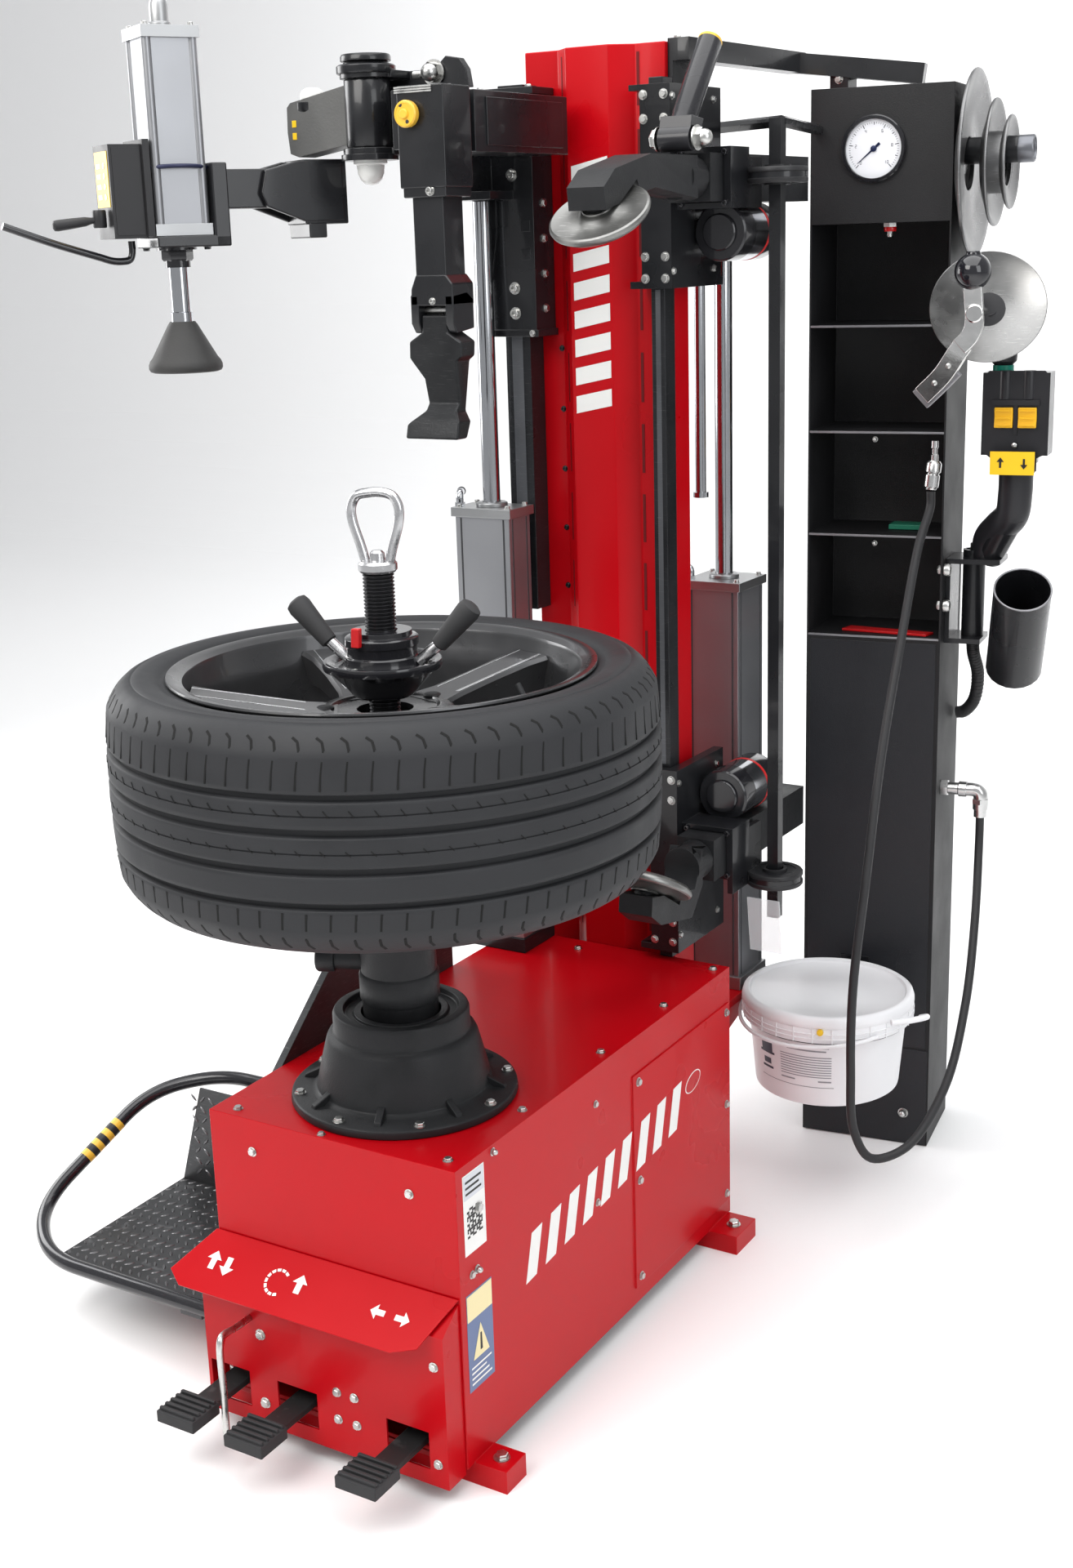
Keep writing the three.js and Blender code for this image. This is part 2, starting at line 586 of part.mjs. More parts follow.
// A dished centring cone with a wide bore, its axis along +X.
function hangingCone(r, x, depth) {
  const g = turned([
    [40, 0], [r * 0.55, 0], [r, depth - 6], [r, depth], [r * 0.55, 7], [40, 7], [40, 0],
  ], 20);
  return g.rotateY(Math.PI / 2).translate(x, PEG[0], PEG[1] - 18.5);
}
const coneSleeve = turned([[39.7, -1], [46, -1], [46, 34], [39.7, 34], [39.7, -1]], 20);
coneSleeve.rotateY(Math.PI / 2).translate(W + 34, PEG[0], PEG[1] - 18.5);
part("cone_large", "grey", hangingCone(140, W + 2, 20), cab);
part("cone_medium", "grey", join(
  hangingCone(95, W + 34, 18),
  coneSleeve,
  hangingCone(70, W + 60, 15),
), cab);

const CTRL_Z = 1034;
const headBox = join(
  box(W + 56, W + 158, -4, 44, 1204, 1330),
  box(W + 76, W + 138, 0, 40, 1190, 1210),
);
part("control_stand", "black", join(
  headBox,
  box(W + GAP, W + 8, 28, 100, 896, CTRL_Z),
  box(W + 6, W + 86, 28, 100, CTRL_Z - 8, CTRL_Z),
  box(W + 6, W + 58, 28, 100, 896, 904),
  post(W + 39, 64, 900, CTRL_Z + 12, 18, 18, 14),
  rod([W + 60, 64, CTRL_Z], [W + 104, 26, 1110], 24, 22, 14),
  rod([W + 104, 26, 1100], [W + 108, 18, 1196], 23, 21, 14),
), cab);
const rockerSide = [[-4.3, 1262], [-7, 1246], [-12, 1247], [-9, 1262], [-12, 1277], [-7, 1278]];
part("rocker_left", "yellow", sideSlab(rockerSide, W + 76, W + 104), cab);
part("rocker_right", "yellow", sideSlab(rockerSide, W + 112, W + 140), cab);

const holder = cut(post(0, 0, -190, 0, 45, 45, 20), post(0, 0, -184, 10, 42, 42, 20));
const holderPlaced = holder.rotateX(rad(38)).rotateZ(rad(14)).translate(W + 134, -36, 1000);
part("tube_holder", "black", holderPlaced, cab);

const mirrorDish = turned([[0, -9], [60, -4], [86, 8], [58, 0], [0, -5]], 24);
part("mirror", "steel", join(
  mirrorDish.rotateX(rad(68)).rotateZ(rad(10)).translate(W + 68, -48, 1428),
  rod([W + 70, -42, 1424], [W + 82, 20, 1345], 10, 13),
  post(W + 82, 22, 1330.6, 1352, 17),
  new THREE.SphereGeometry(27, 12, 8).rotateX(Math.PI / 2).translate(W + 56, -112, 1484),
  rod([W + 56, -112, 1470], [W + 60, -112, 1420], 10),
  rod([W + 60, -112, 1424], [W + 48, -112, 1376], 11),
  rod([W + 48, -112, 1380], [W - 20, -92, 1300], 11, 13),
  rod([W + 60, -108, 1424], [W + 68, -41, 1426], 6),
), cab);

part("control_hose", "rubber", hose(
  [[W + 36, 86, 892], [W + 37, 90, 870], [W + 42, 110, 830], [W + 34, 124, 780],
    [W + 18, 126, 760], [W + 7, 126, 757]],
  10, 12, 8,
), cab);

// ---- hose, bucket, brace ----------------------------------------------------------
const cabPoint = (x, y, z) => {
  const a = rad(CABINET.turn);
  return [
    CABINET.x + x * Math.cos(a) - y * Math.sin(a),
    CABINET.y + x * Math.sin(a) + y * Math.cos(a),
    z,
  ];
};
const chuckAt = cabPoint(206, -26, 1150);
part("air_hose", "rubber", hose(
  [cabPoint(W + 66, 40, 611), cabPoint(W + 66, 40, 560), [452, 990, 440], [470, 900, 330],
    [474, 800, 230], [446, 710, 160], [404, 668, 150], [382, 650, 200], [376, 648, 300],
    [372, 662, 430], [370, 710, 580], [362, 790, 770], [357, 880, 940], [355, 950, 1070],
    cabPoint(206, -26, 1125), cabPoint(206, -26, 1149)],
  7, 60, 8,
));
const tip = cabPoint(210, -22, 1226);
part("air_chuck", "steel", join(
  rod([chuckAt[0], chuckAt[1], 1151.5], [tip[0], tip[1], 1196], 11, 12),
  rod([tip[0], tip[1], 1190], [tip[0] + 3, tip[1], 1228], 5),
));

part("bucket", "white", join(
  turned([[0, 0], [116, 0], [129, 141], [0, 141]], 24),
  turned([[0, 139], [137, 139], [138, 145], [137, 157], [130, 160], [0, 160]], 24),
).translate(...BUCKET, BUCKET_Z), cab);

const brace = [[101, 650, 1800], [112, 1010, 1800], [300, 1050, 1775]];
const braceBar = (a, b) => {
  const from = V3(...a);
  const way = V3(...b).sub(from);
  const g = new THREE.BoxGeometry(30, way.length() + 20, 30);
  const turn = Math.atan2(-way.x, way.y);
  g.rotateX(Math.asin(way.z / way.length())).rotateZ(turn);
  return g.translate(...from.addScaledVector(way, 0.5).toArray());
};
part("top_brace", "black", join(
  braceBar(brace[0], brace[1]),
  braceBar(brace[1], brace[2]),
  box(82.4, 90, 640, 700, 1742, 1812),
  box(82.4, 98, 640, 700, 1785, 1815),
  box(170, 200, 1015, 1050, 1758.4, 1790),
));
part("sync_bar", "black", join(
  box(SYNC[0] - 9, SYNC[0] + 9, SYNC[1] - 9, SYNC[1] + 9, 520, 1702),
  box(50, 82, K.y1 + GAP, 712, 1685, 1715),
  box(58, 80, 708, 786, 1690, 1706),
  rod([68, 782, 1698], [236, 688, 1698], 8, 8, 4),
  rod([236, 686, 1698], cabPoint(14, -3, 1698), 8, 8, 6),
));

// ---- wheel lift --------------------------------------------------------------------
const LIFT_PIVOT_X = -214;
const liftLoop = [
  [LIFT_PIVOT_X, 262, LIFT_PIVOT_Z], [-560, 262, 256], [-652, 190, 236], [-700, -20, 118],
  [-600, -112, 100], [-216, -112, 100],
];
part("wheel_lift", "black", join(
  bentTube(liftLoop, 11, 70, 28, 8),
  rod([LIFT_PIVOT_X, 244, LIFT_PIVOT_Z], [LIFT_PIVOT_X, 280, LIFT_PIVOT_Z], 13, 13, 16),
  slab([[-598, -100], [-598, 196], [-300, 196], [-300, -100]], 88, 92),
  frontSlab([[-598, 88], [-300, 88], [-300, 130], [-420, 262], [-546, 262]], 194, 198),
  box(-330, -290, -120, -98, 86, 106),
  box(-440, -420, 194, 262, 250, 262),
));
part("lift_panel", "black", sideSlab(
  [[-28, 440], [103, 552], [420, 552], [420, 300], [-28, 300]], -212, C.x0 - GAP,
));

// The frame's origin is the middle of the object's box on the floor, without the air hose.
machine.updateMatrixWorld(true);
const bounds = new THREE.Box3();
machine.traverse((piece) => {
  if (piece.isMesh && piece.name !== "air_hose") bounds.expandByObject(piece, true);
});
const middle = bounds.getCenter(V3(0, 0, 0));
machine.position.set(-middle.x, -middle.y, -bounds.min.z);

export default machine;
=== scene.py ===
# A leverless tyre changer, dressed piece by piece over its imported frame.
# Sizes are millimetres measured from the spindle's axis on the floor, and
# at() turns them into the frame's metres.
import bpy
import bmesh
import math
from mathutils import Matrix, Vector


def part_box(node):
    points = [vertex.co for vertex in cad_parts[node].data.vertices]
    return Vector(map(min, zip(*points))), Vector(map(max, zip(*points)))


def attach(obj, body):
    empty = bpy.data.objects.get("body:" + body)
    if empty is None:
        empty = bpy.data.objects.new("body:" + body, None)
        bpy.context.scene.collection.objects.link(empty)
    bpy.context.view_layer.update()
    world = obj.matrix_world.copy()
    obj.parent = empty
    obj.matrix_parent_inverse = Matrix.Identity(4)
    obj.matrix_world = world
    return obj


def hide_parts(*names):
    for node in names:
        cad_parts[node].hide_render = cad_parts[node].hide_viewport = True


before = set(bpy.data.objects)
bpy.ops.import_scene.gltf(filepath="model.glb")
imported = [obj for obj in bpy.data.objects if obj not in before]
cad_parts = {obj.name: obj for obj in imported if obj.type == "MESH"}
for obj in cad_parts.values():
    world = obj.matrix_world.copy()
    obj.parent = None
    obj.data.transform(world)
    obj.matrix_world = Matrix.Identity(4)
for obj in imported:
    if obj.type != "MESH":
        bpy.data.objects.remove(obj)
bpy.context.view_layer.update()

# ---- room: floor, soft light and the viewer's place --------------------------
# A plain pale workshop floor that runs up behind the machine, lit by large
# soft lamps. The front foot bar's corner gives the spindle's place.
low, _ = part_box("chassis_shell")
home = Vector((low[0] + 0.246, low[1] + 0.168, 0.0))


def at(x, y, z):
    return Vector((home.x + x / 1000, home.y + y / 1000, z / 1000))


def show(obj):
    bpy.context.scene.collection.objects.link(obj)


camera_data = bpy.data.cameras.new("viewer")
camera_data.sensor_fit = "AUTO"
camera_data.sensor_width = 36.0
camera_data.lens = 44.36
camera_data.clip_end = 60.0
camera = bpy.data.objects.new("viewer", camera_data)
camera.location = at(1411.25, -1936.33, 1550.69)
camera.rotation_euler = (1.2954, 0.03, 0.5424)
show(camera)
bpy.context.scene.camera = camera

world = bpy.data.worlds.new("room")
world.use_nodes = True
world.node_tree.nodes["Background"].inputs["Color"].default_value = (0.97, 0.98, 1.0, 1.0)
world.node_tree.nodes["Background"].inputs["Strength"].default_value = 0.55
bpy.context.scene.world = world
bpy.context.scene.view_settings.view_transform = "Standard"


def soft_lamp(name, place, aim, size, power, colour):
    lamp = bpy.data.lights.new(name, "AREA")
    lamp.shape = "RECTANGLE"
    lamp.size = size[0]
    lamp.size_y = size[1]
    lamp.energy = power
    lamp.color = colour
    holder = bpy.data.objects.new(name, lamp)
    holder.location = at(*place)
    holder.rotation_euler = (at(*aim) - at(*place)).to_track_quat("-Z", "Y").to_euler()
    show(holder)


soft_lamp("key_lamp", (-900, -2600, 3200), (0, 200, 700), (2.4, 1.6), 80, (1.0, 0.98, 0.95))
soft_lamp("top_lamp", (300, -200, 4200), (200, 100, 0), (4.5, 4.5), 190, (1.0, 1.0, 1.0))
soft_lamp("right_lamp", (3000, -900, 2300), (100, 300, 800), (1.4, 2.2), 32, (0.96, 0.98, 1.0))
soft_lamp("wall_lamp", (-300, 3900, 3800), (-300, 6600, 1500), (6.0, 1.0), 120, (1.0, 1.0, 1.0))
soft_lamp("left_lamp", (-2900, 300, 1900), (0, 200, 800), (1.2, 2.0), 45, (1.0, 1.0, 1.0))

floor_mesh = bpy.data.meshes.new("floor")
floor_rows = [(-6.0, 0.0), (4.5, 0.0), (5.2, 0.12), (5.8, 0.5), (6.1, 1.1), (6.2, 6.0)]
floor_points = []
for y, z in floor_rows:
    floor_points += [(-9.0, y, z), (9.0, y, z)]
floor_faces = [(2 * i, 2 * i + 1, 2 * i + 3, 2 * i + 2) for i in range(len(floor_rows) - 1)]
floor_mesh.from_pydata(floor_points, [], floor_faces)
floor = bpy.data.objects.new("floor", floor_mesh)
floor.modifiers.new("curve", "SUBSURF").render_levels = 2
show(floor)
floor_paint = bpy.data.materials.new("pale_floor")
floor_paint.use_nodes = True
floor_shader = floor_paint.node_tree.nodes["Principled BSDF"]
floor_shader.inputs["Base Color"].default_value = (0.92, 0.92, 0.92, 1.0)
floor_shader.inputs["Roughness"].default_value = 0.75
floor_mesh.materials.append(floor_paint)


# ---- air hose -------------------------------------------------------------------
# A black rubber air hose from the elbow on the cabinet's side, down in a slack
# loop past the bucket and up to the inflating chuck in its clip. It is vulcanised
# rubber over braid, 14 mm across, so its skin has a faint weave and dull sheen.
def new_tree(name, kind, inputs, outputs):
    """A node group with its two sockets' ends: names and kinds in, names and kinds out."""
    tree = bpy.data.node_groups.new(name, kind)
    for in_out, sockets in (("INPUT", inputs), ("OUTPUT", outputs)):
        for label, socket in sockets:
            tree.interface.new_socket(label, in_out=in_out, socket_type="NodeSocket" + socket)
    return tree, tree.nodes.new("NodeGroupInput"), tree.nodes.new("NodeGroupOutput")


def wire(tree, rows):
    """Joins sockets: each row is a node, its output, the next node and its input."""
    for start, output, end, entry in rows:
        tree.links.new(start.outputs[output], end.inputs[entry])


def wear_group():
    tree, source, result = new_tree(
        "surface_life", "ShaderNodeTree",
        [("Grain size", "Float"), ("Patch size", "Float")],
        [("Grain", "Float"), ("Patches", "Float"), ("Scratches", "Float")])
    new = tree.nodes.new
    place = new("ShaderNodeTexCoord")
    grain = new("ShaderNodeTexNoise")
    grain.inputs["Detail"].default_value = 5.0
    patches = new("ShaderNodeTexNoise")
    patches.inputs["Detail"].default_value = 3.0
    patches.inputs["Roughness"].default_value = 0.6
    stretch = new("ShaderNodeMapping")
    stretch.inputs["Scale"].default_value = (9.0, 9.0, 160.0)
    stretch.inputs["Rotation"].default_value = (0.5, 0.3, 0.2)
    lines = new("ShaderNodeTexNoise")
    lines.inputs["Scale"].default_value = 6.0
    lines.inputs["Detail"].default_value = 2.0
    sharpen = new("ShaderNodeMapRange")
    sharpen.inputs["From Min"].default_value = 0.62
    sharpen.inputs["From Max"].default_value = 0.72
    wire(tree, [
        (place, "Object", grain, "Vector"), (place, "Object", patches, "Vector"),
        (place, "Object", stretch, "Vector"), (stretch, "Vector", lines, "Vector"),
        (source, "Grain size", grain, "Scale"), (source, "Patch size", patches, "Scale"),
        (lines, "Fac", sharpen, "Value"), (grain, "Fac", result, "Grain"),
        (patches, "Fac", result, "Patches"), (sharpen, "Result", result, "Scratches")])
    return tree


surface_life = wear_group()


def finish(name, dark, light, rough, metal=0.0, coat=0.0, grain=900.0, patch=7.0,
           relief=0.05, depth=0.0003, scratch=0.0, brushed=None, shine=0.32):
    paint = bpy.data.materials.new(name)
    paint.use_nodes = True
    nodes = paint.node_tree.nodes
    link = paint.node_tree.links.new
    shader = nodes["Principled BSDF"]
    shader.inputs["Metallic"].default_value = metal
    shader.inputs["Specular IOR Level"].default_value = 0.5 if metal > 0.5 else shine
    shader.inputs["Coat Weight"].default_value = coat
    shader.inputs["Coat Roughness"].default_value = 0.06
    life = nodes.new("ShaderNodeGroup")
    life.node_tree = surface_life
    life.inputs["Grain size"].default_value = grain
    life.inputs["Patch size"].default_value = patch
    tint = nodes.new("ShaderNodeMix")
    tint.data_type = "RGBA"
    tint.inputs[6].default_value = (*dark, 1.0)
    tint.inputs[7].default_value = (*light, 1.0)
    link(life.outputs["Patches"], tint.inputs[0])
    colour = tint.outputs[2]
    if scratch:
        worn = nodes.new("ShaderNodeMix")
        worn.data_type = "RGBA"
        worn.inputs[7].default_value = (*[min(1.0, 0.06 + 1.5 * c) for c in light], 1.0)
        amount = nodes.new("ShaderNodeMath")
        amount.operation = "MULTIPLY"
        amount.inputs[1].default_value = scratch
        link(life.outputs["Scratches"], amount.inputs[0])
        link(amount.outputs[0], worn.inputs[0])
        link(colour, worn.inputs[6])
        colour = worn.outputs[2]
    link(colour, shader.inputs["Base Color"])
    spread = nodes.new("ShaderNodeMapRange")
    spread.inputs["From Min"].default_value = 0.3
    spread.inputs["From Max"].default_value = 0.7
    spread.inputs["To Min"].default_value = rough[0]
    spread.inputs["To Max"].default_value = rough[1]
    link(life.outputs["Patches"], spread.inputs["Value"])
    link(spread.outputs["Result"], shader.inputs["Roughness"])
    bump = nodes.new("ShaderNodeBump")
    bump.inputs["Strength"].default_value = relief
    bump.inputs["Distance"].default_value = depth
    height = life.outputs["Grain"]
    if brushed:
        place = nodes.new("ShaderNodeTexCoord")
        stretch = nodes.new("ShaderNodeMapping")
        stretch.inputs["Scale"].default_value = brushed
        lines = nodes.new("ShaderNodeTexNoise")
        lines.inputs["Scale"].default_value = 1.0
        lines.inputs["Detail"].default_value = 3.0
        link(place.outputs["Object"], stretch.inputs["Vector"])
        link(stretch.outputs["Vector"], lines.inputs["Vector"])
        height = lines.outputs["Fac"]
    link(height, bump.inputs["Height"])
    link(bump.outputs["Normal"], shader.inputs["Normal"])
    return paint


hose_rubber = finish("hose_rubber", (0.012, 0.012, 0.013), (0.028, 0.028, 0.030),
                     (0.42, 0.6), grain=700, patch=20, relief=0.15)


def cabinet_at(x, y, z):
    turn = math.radians(8)
    return at(150 + x * math.cos(turn) - y * math.sin(turn),
              988 + x * math.sin(turn) + y * math.cos(turn), z)


W = 222


def spline_points(knots, per_span):
    """Centripetal Catmull-Rom, the same line that the frame's hose follows."""
    knots = [Vector(k) for k in knots]
    first = knots[0] * 2 - knots[1]
    last = knots[-1] * 2 - knots[-2]
    line = [first, *knots, last]
    out = []
    for i in range(1, len(line) - 2):
        a, b, c, d = line[i - 1:i + 3]
        t0 = 0.0
        t1 = t0 + (b - a).length ** 0.5
        t2 = t1 + (c - b).length ** 0.5
        t3 = t2 + (d - c).length ** 0.5
        for k in range(per_span):
            t = t1 + (t2 - t1) * k / per_span
            a1 = a * ((t1 - t) / (t1 - t0)) + b * ((t - t0) / (t1 - t0))
            a2 = b * ((t2 - t) / (t2 - t1)) + c * ((t - t1) / (t2 - t1))
            a3 = c * ((t3 - t) / (t3 - t2)) + d * ((t - t2) / (t3 - t2))
            b1 = a1 * ((t2 - t) / (t2 - t0)) + a2 * ((t - t0) / (t2 - t0))
            b2 = a2 * ((t3 - t) / (t3 - t1)) + a3 * ((t - t1) / (t3 - t1))
            out.append(b1 * ((t2 - t) / (t2 - t1)) + b2 * ((t - t1) / (t2 - t1)))
    out.append(knots[-1])
    return out


def add_pipe(bm, line, radius, sides=16, paint=0, caps=True):
    """A round pipe along a line of points, its rings carried without twist."""
    line = [Vector(p) for p in line]
    ways = []
    for i in range(len(line)):
        before = line[max(i - 1, 0)]
        after = line[min(i + 1, len(line) - 1)]
        ways.append((after - before).normalized())
    side = ways[0].orthogonal().normalized()
    rings = []
    for i, p in enumerate(line):
        side = (side - ways[i] * side.dot(ways[i])).normalized()
        other = ways[i].cross(side)
        r = radius[i] if isinstance(radius, (list, tuple)) else radius
        ring = []
        for k in range(sides):
            a = 2 * math.pi * k / sides
            ring.append(bm.verts.new(p + (side * math.cos(a) + other * math.sin(a)) * r))
        rings.append(ring)
    made = []
    for a, b in zip(rings, rings[1:]):
        for k in range(sides):
            made.append(bm.faces.new((a[k], a[(k + 1) % sides], b[(k + 1) % sides], b[k])))
    if caps:
        made.append(bm.faces.new(list(reversed(rings[0]))))
        made.append(bm.faces.new(rings[-1]))
    for f in made:
        f.material_index = paint
    return made


def piece(name, bm, paints, body, replaces=(), rounding=0.0, steps=2, crease=38):
    """Turns a bmesh into a finished piece that rides on a body."""
    mesh = bpy.data.meshes.new(name)
    bm.to_mesh(mesh)
    bm.free()
    for paint in paints:
        mesh.materials.append(paint)
    mesh.shade_smooth()
    mesh.set_sharp_from_angle(angle=math.radians(crease))
    obj = bpy.data.objects.new(name, mesh)
    show(obj)
    if rounding:
        edge = obj.modifiers.new("rounded_edges", "BEVEL")
        edge.width = rounding / 1000
        edge.segments = steps
        edge.limit_method = "ANGLE"
        edge.angle_limit = math.radians(crease)
        edge.harden_normals = True
    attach(obj, body)
    if replaces:
        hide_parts(*replaces)
    return obj


hose_knots = [
    cabinet_at(W + 66, 40, 611), cabinet_at(W + 66, 40, 560),
    at(452, 990, 440), at(470, 900, 330), at(474, 800, 230), at(446, 710, 160),
    at(404, 668, 150), at(382, 650, 200), at(376, 648, 300), at(372, 662, 430),
    at(370, 710, 580), at(362, 790, 770), at(357, 880, 940), at(355, 950, 1070),
    cabinet_at(206, -26, 1125), cabinet_at(206, -26, 1149),
]
hose_line = spline_points(hose_knots, 8)
bm = bmesh.new()
add_pipe(bm, hose_line, 0.007, 16)
air_hose = piece("air_hose_rubber", bm, [hose_rubber], "machine", ["air_hose"])

chuck_metal = finish("chuck_metal", (0.5, 0.5, 0.5), (0.68, 0.68, 0.67), (0.18, 0.32), 1.0,
                     grain=500, relief=0.04, scratch=0.2)
chuck_foot = cabinet_at(206, -26, 1151.5)
chuck_neck = cabinet_at(210, -22, 1196)
chuck_tip = cabinet_at(210, -22, 1227)
bm = bmesh.new()
way = chuck_neck - chuck_foot
add_pipe(bm, [chuck_foot + way * t for t in (0, 0.06, 0.1, 0.5, 0.55, 0.62, 0.9, 1.0)],
         [0.0085, 0.0095, 0.0115, 0.0115, 0.0095, 0.0122, 0.0122, 0.009], 24)
way = chuck_tip - chuck_neck
add_pipe(bm, [chuck_neck + way * t for t in (-0.1, 0.3, 0.34, 0.6, 0.66, 1.0)],
         [0.006, 0.006, 0.0045, 0.0045, 0.006, 0.0055], 20)
air_chuck = piece("air_chuck_body", bm, [chuck_metal], "machine", ["air_chuck"])

# ---- chassis ---------------------------------------------------------------------
# A folded and welded sheet steel box on two square foot bars, in gloss red
# enamel over light orange peel. Its edges are bent, so they are softly rounded.
red_enamel = finish("red_enamel", (0.40, 0.001, 0.004), (0.48, 0.002, 0.007), (0.26, 0.36),
                    0.0, coat=0.05, grain=260, patch=5, depth=0.0004, shine=0.16)


def carry(node, paint, body, rounding=1.0, steps=2, crease=38, name=None):
    """A copy of a frame solid with merged faces and rounded edges, shown in its place."""
    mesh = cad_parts[node].data.copy()
    mesh.materials.clear()
    bm = bmesh.new()
    bm.from_mesh(mesh)
    bmesh.ops.remove_doubles(bm, verts=bm.verts, dist=0.00002)
    bmesh.ops.dissolve_limit(bm, angle_limit=math.radians(0.8), verts=bm.verts, edges=bm.edges)
    return piece(name or node + "_skin", bm, [paint], body, [node], rounding, steps, crease)


def add_block(bm, x0, x1, y0, y1, z0, z1, paint=0, spot=at):
    corners = [bm.verts.new(spot(x, y, z)) for z in (z0, z1) for x, y in
               ((x0, y0), (x1, y0), (x1, y1), (x0, y1))]
    walls = [(3, 2, 1, 0), (4, 5, 6, 7), (0, 1, 5, 4), (1, 2, 6, 5), (2, 3, 7, 6), (3, 0, 4, 7)]
    for wall in walls:
        bm.faces.new([corners[i] for i in wall]).material_index = paint


def add_turning(bm, profile, centre, axis, sides=48, paint=0, paints=None, start=0.0):
    """A turned shape: [radius, height] pairs in mm along an axis from a centre point."""
    axis = Vector(axis).normalized()
    side = axis.orthogonal().normalized()
    other = axis.cross(side)
    centre = Vector(centre)
    rings = []
    for r, h in profile:
        base = centre + axis * (h / 1000)
        if r == 0:
            rings.append([bm.verts.new(base)])
            continue
        ring = []
        for k in range(sides):
            a = start + 2 * math.pi * k / sides
            ring.append(bm.verts.new(base + (side * math.cos(a) + other * math.sin(a)) * r / 1000))
        rings.append(ring)
    for i, (a, b) in enumerate(zip(rings, rings[1:])):
        for k in range(sides):
            n = (k + 1) % sides
            if len(a) == 1 and len(b) == 1:
                continue
            if len(a) == 1:
                face = bm.faces.new((a[0], b[n], b[k]))
            elif len(b) == 1:
                face = bm.faces.new((a[k], a[n], b[0]))
            else:
                face = bm.faces.new((a[k], a[n], b[n], b[k]))
            face.material_index = paints[i] if paints else paint


def add_drum(bm, radius, start, stop, centre, axis, sides=48, paint=0):
    """A plain round drum between two heights along an axis, in mm."""
    add_turning(bm, [[0, start], [radius, start], [radius, stop], [0, stop]], centre, axis,
                sides, paint)


def add_slab(bm, outline, depth, paint=0):
    """A flat plate: its outline as points in the frame, and its thickness as a vector."""
    depth = Vector(depth)
    near = [bm.verts.new(Vector(p)) for p in outline]
    far = [bm.verts.new(Vector(p) + depth) for p in outline]
    total = Vector((0, 0, 0))
    for i in range(len(near)):
        total += near[i].co.cross(near[(i + 1) % len(near)].co)
    if total.dot(depth) > 0:
        near, far = far, near
    faces = [bm.faces.new(near), bm.faces.new(list(reversed(far)))]
    for i in range(len(near)):
        n = (i + 1) % len(near)
        faces.append(bm.faces.new((near[i], far[i], far[n], near[n])))
    for f in faces:
        f.material_index = paint


def add_screwhead(bm, place, normal, radius, paint=0, kind="hex"):
    """A bolt head on its washer, or a dome nut, standing on a surface."""
    place = Vector(place)
    normal = Vector(normal).normalized()
    r = radius
    add_drum(bm, r * 1.12, 0, r * 0.14, place, normal,
                24, paint)
    if kind == "hex":
        add_turning(bm, [[0, r * 0.1], [r * 0.84, r * 0.1], [r * 0.88, r * 0.16],
                         [r * 0.88, r * 0.62], [r * 0.78, r * 0.74], [0, r * 0.76]], place,
                    normal, 6, paint)
    elif kind == "socket":
        add_turning(bm, [[0, 0.05 * r], [r * 0.8, 0.05 * r], [r * 0.8, r * 0.8],
                         [r * 0.72, r * 0.88], [r * 0.42, r * 0.88], [r * 0.4, r * 0.4],
                         [0, r * 0.4]], place, normal, 20, paint)
    else:
        add_turning(bm, [[0, 0.05 * r], [r * 0.9, 0.05 * r], [r * 0.9, r * 0.7]], place,
                    normal, 6, paint)
        add_turning(bm, [[r * 0.78, r * 0.68], [r * 0.74, r * 1.0], [r * 0.55, r * 1.32],
                         [r * 0.28, r * 1.5], [0, r * 1.55]], place, normal, 20, paint)


zinc = finish("zinc_plate", (0.42, 0.42, 0.41), (0.66, 0.66, 0.64), (0.22, 0.4), 1.0,
              grain=1200, patch=60, relief=0.06)


def bolt_tree():
    """Bolts stand on points: each point holds the way its bolt faces and its size."""
    tree, source, result = new_tree(
        "bolts_on_points", "GeometryNodeTree",
        [("Points", "Geometry"), ("Bolt", "Object"), ("Plate", "Material")],
        [("Bolts", "Geometry")])
    new = tree.nodes.new
    model = new("GeometryNodeObjectInfo")
    facing = new("GeometryNodeInputNamedAttribute")
    facing.data_type = "FLOAT_VECTOR"
    facing.inputs["Name"].default_value = "facing"
    size = new("GeometryNodeInputNamedAttribute")
    size.data_type = "FLOAT"
    size.inputs["Name"].default_value = "size"
    turn = new("FunctionNodeAlignRotationToVector")
    turn.axis = "Z"
    copies = new("GeometryNodeInstanceOnPoints")
    real = new("GeometryNodeRealizeInstances")
    plate = new("GeometryNodeSetMaterial")
    wire(tree, [
        (source, "Points", copies, "Points"), (source, "Bolt", model, "Object"),
        (model, "Geometry", copies, "Instance"), (facing, "Attribute", turn, "Vector"),
        (turn, "Rotation", copies, "Rotation"), (size, "Attribute", copies, "Scale"),
        (copies, "Instances", real, "Geometry"), (real, "Geometry", plate, "Geometry"),
        (source, "Plate", plate, "Material"), (plate, "Geometry", result, "Bolts")])
    return tree


bolts_on_points = bolt_tree()


def bolt_model(kind):
    bm = bmesh.new()
    add_screwhead(bm, (0, 0, 0), (0, 0, 1), 1000.0, 0, kind)
    mesh = bpy.data.meshes.new(kind + "_bolt_model")
    bm.to_mesh(mesh)
    bm.free()
    mesh.shade_smooth()
    mesh.set_sharp_from_angle(angle=math.radians(32))
    return bpy.data.objects.new(kind + "_bolt_model", mesh)


bolt_kinds = {kind: bolt_model(kind) for kind in ("hex", "socket", "dome")}


